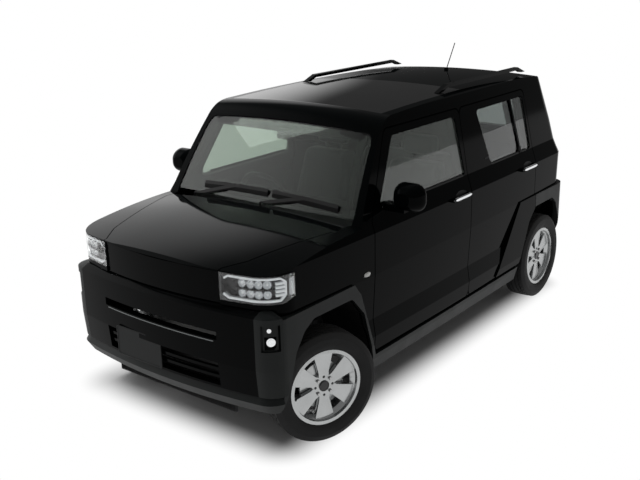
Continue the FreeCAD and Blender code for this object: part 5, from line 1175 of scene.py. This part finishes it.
# Tailgate furniture
# Under the glass hangs the number plate on its backing, with the handle bar over it; the high stop lamp
# sits in the top edge, and one wiper rests at the foot of the glass.
rear_plate = (-1.6665, 0.0, 0.60)
blade_steps = 20
blade_start = (-0.03, 1.190)
blade_run = (-0.33, 0.012)
# distance from the glass, height over the blade's line
blade_section = ((0.001, -0.005), (0.010, -0.004), (0.013, 0.0), (0.010, 0.004), (0.001, 0.005))
pivot_place = (0.03, 1.125)
arm_run = (-0.22, 0.068)
arm_section = ((0, -0.007), (-0.005, -0.006), (-0.005, 0.006), (0, 0.007))
pivot_profile = [(0.016, 0), (0.016, 0.016), (0.012, 0.021), (0.002, 0.022)]
add_mesh("rear_plate", *plate_piece(*rear_plate, -1), plate_pale, "tailgate", "gloss_plastic")
backing = blocks(((-1.6602, -0.185, 0.592), (-1.640, 0.185, 0.772), 0.006),
                 ((-1.6725, -0.23, 0.806), (-1.640, 0.23, 0.842), 0.008))
add_mesh("plate_backing", *backing, grained_plastic, "tailgate", "dark_plastic")
laid_patch("high_stop_lamp", "tailgate", (-1.75, 0, 1.516), (1, 0, 0), (0, 1, 0), (0.11, 0.009),
           strip_shape, 0.3, lamp_red, "tailgate", "red_lamp")
gate_glass = tree_of("tailgate_glass")
blade_rows = []
for k in range(blade_steps + 1):
    y = blade_start[0] + blade_run[0] * k / blade_steps
    z = blade_start[1] + blade_run[1] * k / blade_steps
    face = hit_on(gate_glass, (-3, y, z), (1, 0, 0))
    blade_rows.append([Vector((face.x - out, y, z + up)) for out, up in blade_section])
pivot = hit_on(tree_of("tailgate"), (-3, *pivot_place), (1, 0, 0))
arm_rows = []
for share in (0.0, 0.25, 0.5, 0.75, 1.0):
    x = pivot.x - 0.016 + 0.013 * share
    y = pivot_place[0] + arm_run[0] * share
    z = pivot_place[1] + arm_run[1] * min(1, share * 1.6)
    arm_rows.append([Vector((x + out, y, z + up)) for out, up in arm_section])
points, faces = turned(pivot_profile, 24)
hub = [Vector((pivot.x + 0.004 - p.y, pivot.y + p.x, pivot.z + p.z)) for p in points]
rear_wiper = joined([tube(blade_rows), tube(arm_rows), (hub, faces)])
add_mesh("rear_wiper", *rear_wiper, wiper_black, "tailgate", "dark_plastic")

# Seats
# Foam cushions in a woven charcoal cover with sewn channels, on steel frames with plastic side covers;
# the headrests stand on two steel posts.
pad_voxel = 0.012
pad_inset = 0.007
pad_round = 0.035
pad_cap = 0.010
pad_frames = 20
pad_pressure = 4
seat_middle = 0.338
seat_half = 0.232
seat_lean = 0.142
post_reach = 0.06
post_profile = [(0.0055, 0), (0.0055, 0.06)]


def weave():
    """Shader group: a plain weave's height and a thread mask from Object coordinates, with sewn channels."""
    group, given = empty_group("weave", "ShaderNodeTree", (
        ("Thread", "Float", 900.0), ("Channel", "Float", 0.085)), (("Height", "Float"), ("Mask", "Float")))
    place = add_node(group, "ShaderNodeTexCoord")["Object"]
    cloth = 0
    for direction in ("X", "Y", "Z"):
        thread = add_node(group, "ShaderNodeTexWave", {
            "Distortion": 0.6, "Vector": place, "Scale": given["Thread"]}, bands_direction=direction)["Fac"]
        cloth = add_node(group, "ShaderNodeMath", {0: cloth, 1: thread}, operation="MAXIMUM")["Value"]
    across = add_node(group, "ShaderNodeSeparateXYZ", {"Vector": place})["Y"]
    fold = add_node(group, "ShaderNodeMath", {0: across, 1: given["Channel"]}, operation="PINGPONG")["Value"]
    seam = add_node(group, "ShaderNodeMapRange", {"Value": fold, "From Max": 0.006, "To Max": 6.0},
                    interpolation_type="SMOOTHSTEP")["Result"]
    height = add_node(group, "ShaderNodeMath", {0: cloth, 1: seam})["Value"]
    add_node(group, "NodeGroupOutput", {"Height": height, "Mask": cloth})
    return group


seat_cloth = bpy.data.materials.new("seat_cloth")
seat_cloth.use_nodes = True
tree = seat_cloth.node_tree
woven = add_node(tree, "ShaderNodeGroup", node_tree=weave())
tint = add_node(tree, "ShaderNodeMix", {"Factor": woven["Mask"], "A": (0.012, 0.013, 0.014, 1),
                                        "B": (0.035, 0.036, 0.037, 1)}, data_type="RGBA")["Result"]
relief = add_node(tree, "ShaderNodeBump", {"Strength": 0.5, "Distance": 0.0006, "Height": woven["Height"]})
set_inputs(tree, tree.nodes["Principled BSDF"], {"Base Color": tint, "Roughness": 0.9, "Sheen Weight": 0.3,
                                                 "Normal": relief["Normal"]})


def pad_form(name, low, high, bend):
    """A cushion: a block brought to an even skin, bent by a function, filled out by cloth pressure."""
    low = Vector(low) + Vector((pad_inset,) * 3)
    high = Vector(high) - Vector((pad_inset,) * 3)
    pad = new_object(name, *rounded_block(low, high, min(pad_round, min(high - low) * 0.3), 3))
    skin = pad.modifiers.new("skin", "REMESH")
    skin.mode = "VOXEL"
    skin.voxel_size = pad_voxel
    even = applied(pad)
    for v in even.vertices:
        share = Vector([(v.co[i] - low[i]) / (high[i] - low[i]) for i in range(3)])
        v.co += Vector(bend(share))
    even.update()
    start = [v.co.copy() for v in even.vertices]
    cloth = pad.modifiers.new("fill", "CLOTH")
    cloth.settings.use_pressure = True
    cloth.settings.uniform_pressure_force = pad_pressure
    cloth.settings.effector_weights.gravity = 0
    cloth.point_cache.frame_start = 1
    cloth.point_cache.frame_end = pad_frames
    for frame_number in range(1, pad_frames + 1):
        scene.frame_set(frame_number)
    graph = bpy.context.evaluated_depsgraph_get()
    filled = pad.evaluated_get(graph).to_mesh()
    moved = [v.co.copy() for v in filled.vertices]
    pad.evaluated_get(graph).to_mesh_clear()
    pad.modifiers.clear()
    scene.frame_set(1)
    for v, before, after in zip(even.vertices, start, moved):
        move = after - before
        if move.length > pad_cap:
            move = move.normalized() * pad_cap
        v.co = before + move
    finer = pad.modifiers.new("finer", "SUBSURF")
    finer.levels = 1
    finer.render_levels = 1
    form = applied(pad)
    bpy.data.objects.remove(pad)
    form.shade_smooth()
    form.materials.clear()
    form.materials.append(seat_cloth)
    return form


def place_pad(mesh, name, shift):
    """A copy of a filled cushion in its place on the chassis."""
    placed = mesh.copy()
    placed.name = name
    placed.transform(Matrix.Translation(shift))
    pad = bpy.data.objects.new(name, placed)
    scene.collection.objects.link(pad)
    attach(pad, "chassis")
    return pad


def cushion_bend(share):
    """Raised bolsters at the sides, and a front edge that falls away."""
    side_rise = 0.022 * max(0, abs(share.y - 0.5) * 2 - 0.62) / 0.38
    return 0, 0, (side_rise - 0.012) * share.z - 0.018 * share.z * max(0, share.x - 0.75) * 4


def back_bend(share):
    """A leaning back with side wings, narrower towards its head."""
    wing = 0.030 * max(0, abs(share.y - 0.5) * 2 - 0.6) / 0.4 * share.x * (1 - share.z * 0.6)
    narrow = (0.5 - share.y) * 0.09 * share.z ** 3
    return -seat_lean * share.z + wing - 0.012 * share.x, narrow, 0


def no_bend(share):
    """No change of form."""
    return 0, 0, 0


def post_pair(x, y, z):
    """The two posts of a headrest."""
    points, faces = turned(post_profile, 12)
    places = [Vector((x, y + reach, z)) for reach in (-post_reach, post_reach)]
    return joined([([p.xzy + place for p in points], faces) for place in places])


cushion = pad_form("front_cushion", (-0.160, -seat_half, 0.345), (0.360, seat_half, 0.575), cushion_bend)
back = pad_form("front_back", (-0.158, -seat_half, 0.56), (-0.024, seat_half, 1.170), back_bend)
rest = pad_form("headrest", (-0.308, -0.122, 1.180), (-0.222, 0.122, 1.318), no_bend)
for side, flip in flips.items():
    middle = seat_middle * flip
    shift = Vector((0, middle, 0))
    pad = place_pad(cushion, "seat_cushion_" + side, shift)
    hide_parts("front_seat_" + side)
    place_pad(back, "seat_back_" + side, shift)
    place_pad(rest, "headrest_" + side, shift)
    base = blocks(((-0.088, middle - 0.19, 0.2765), (0.288, middle + 0.19, 0.350), 0.010),
                  ((-0.12, middle - 0.238, 0.335), (0.25, middle - 0.218, 0.42), 0.008),
                  ((-0.12, middle + 0.218, 0.335), (0.25, middle + 0.238, 0.42), 0.008))
    add_mesh("seat_base_" + side, *base, grained_plastic, "chassis", "trim_plastic")
    add_mesh("headrest_posts_" + side, *post_pair(-0.265, middle, 1.135), nut_steel, "chassis", "steel")
rear_cushion = pad_form("rear_cushion", (-0.818, -0.55, 0.345), (-0.302, 0.55, 0.575), cushion_bend)
rear_back = pad_form("rear_back", (-0.818, -0.55, 0.56), (-0.684, 0.55, 1.068), back_bend)
pad = place_pad(rear_cushion, "rear_seat_cushion", Vector((0, 0, 0)))
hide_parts("rear_seat")
place_pad(rear_back, "rear_seat_back", Vector((0, 0, 0)))
posts = []
for name, y in (("left", -0.29), ("right", 0.29)):
    place_pad(rest, "rear_headrest_" + name, Vector((-0.66, y, -0.1)))
    posts.append(post_pair(-0.925, y, 1.035))
add_mesh("rear_headrest_posts", *joined(posts), nut_steel, "chassis", "steel")
base = rounded_block((-0.748, -0.53, 0.2765), (-0.372, 0.53, 0.350), 0.010)
add_mesh("rear_seat_base", *base, grained_plastic, "chassis", "trim_plastic")
for mesh in (cushion, back, rest, rear_cushion, rear_back):
    bpy.data.meshes.remove(mesh)

# Dashboard
# One grained moulding with a hooded instrument panel, a centre display, a glove box lid and air vents.
dash_face = 0.560
dash_level = 1.0
dash_lean = 0.111
vent_places = ((-0.555, 0.962), (-0.17, 0.955), (0.17, 0.955), (0.555, 0.962))
vent_half = (0.045, 0.030)
# share of the half size, X from the dashboard's face
vent_rings = ((1.0, 0.002), (1.0, -0.0085), (0.88, -0.0095), (0.84, 0.002))
vane_count = 6
vane_step = 0.0085
vane_back = 0.004
cabin_plastic = finish("cabin_plastic", (0.013, 0.0135, 0.014), (0.019, 0.0195, 0.02), (0.5, 0.68),
                       grain=650, bump=0.35, depth=0.0003, Specular_IOR_Level=0.3)
dress(cabin_plastic, "dashboard")
display_black = finish("display_black", (0.003, 0.003, 0.004), (0.004, 0.004, 0.005), (0.05, 0.1), grain=500,
                       bump=0.02)


def dash_x(z):
    """X of the dashboard's leaning rear face."""
    return dash_face + (dash_level - z) * dash_lean


def on_dash(piece):
    """The piece with its X measured from the dashboard's leaning rear face."""
    points, faces = piece
    return [p + Vector((dash_x(p.z), 0, 0)) for p in points], faces


hood = joined([rounded_block((0.566, -0.50, 1.040), (0.700, -0.18, 1.072), 0.014, 4),
               on_dash(rounded_block((-0.014, -0.56, 0.70), (0.006, -0.12, 0.755), 0.006)),
               on_dash(rounded_block((-0.012, 0.14, 0.72), (0.006, 0.56, 0.87), 0.008))])
add_mesh("instrument_hood", *hood, cabin_plastic, "chassis", "trim_plastic")
panels = blocks(((0.574, -0.47, 0.985), (0.612, -0.21, 1.046), 0.008),
                ((0.540, -0.115, 0.895), (0.572, 0.115, 1.035), 0.006))
add_mesh("displays", *panels, display_black, "chassis", "gloss_plastic")
vane = new_object("vane_pattern", *rounded_block((-0.036, -0.001, -0.005), (0.036, 0.001, 0.004), 0.0006, 1))
vane_spots = []
for y, z in vent_places:
    for k in range(vane_count):
        spot = Vector((dash_x(z) - vane_back, y, z + (k - (vane_count - 1) / 2) * vane_step))
        vane_spots.append((spot, Vector((-1, 0, 0)), Vector((0, 1, 0))))
set_on_points(vane_spots, vane, "air_vanes", cup_black, "chassis")
bpy.data.objects.remove(vane)
vent_frames = []
for place in vent_places:
    rows = upright_rings(vent_rings, place, vent_half, 36, 0.35)
    vent_frames.append(on_dash(net(rows + [rows[0]])))
add_mesh("vent_frames", *joined(vent_frames), satin_trim, "chassis", "trim_plastic")

# Steering wheel
# A leather-wrapped rim with stitching on its inner side, and a padded boss; it turns with the front wheels.
boss_profile = [(0.064, -0.006), (0.072, -0.002), (0.074, 0.006), (0.068, 0.014), (0.045, 0.020),
                (0.004, 0.022)]
boss_shares = (1.1, 0.92)
grip_half = 0.0145
stitch_inset = 0.0148
stitch_count = 120
rim_leather = finish("rim_leather", (0.010, 0.010, 0.0105), (0.016, 0.016, 0.0165), (0.42, 0.58), grain=420,
                     bump=0.5, depth=0.0004, Specular_IOR_Level=0.35)
dress(rim_leather, "steering_wheel")
thread_grey = finish("thread_grey", (0.2, 0.2, 0.2), (0.14, 0.14, 0.14), (0.7, 0.85), grain=900, bump=0.4)
wheel_joint = joint_named("steering_wheel_turn")
wheel_axis = Vector(wheel_joint["axis"]).normalized()
wheel_side = Vector((0, 1, 0))
wheel_up = wheel_axis.cross(wheel_side).normalized()
wheel_middle = Vector(wheel_joint["pos_m"])
points, faces = turned(boss_profile, 40)
points = [wheel_middle + wheel_side * boss_shares[0] * p.x + wheel_up * boss_shares[1] * p.z
          + wheel_axis * p.y for p in points]
add_mesh("wheel_pad", points, faces, cabin_plastic, "steering_wheel", "trim_plastic")
stitch = rounded_block((-0.0028, -0.0006, -0.0004), (0.0028, 0.0006, 0.0006), 0.0004, 1)
stitch = new_object("stitch_pattern", *stitch)
rim_reach = max((v.co - wheel_middle).dot(wheel_side) for v in nodes["steering_wheel"].data.vertices)
stitch_spots = []
for c, s in loop(stitch_count):
    out = wheel_side * c + wheel_up * s
    place = wheel_middle + out * (rim_reach - grip_half - stitch_inset)
    stitch_spots.append((place, -out, wheel_axis.cross(out)))
set_on_points(stitch_spots, stitch, "rim_stitches", thread_grey, "steering_wheel")
bpy.data.objects.remove(stitch)
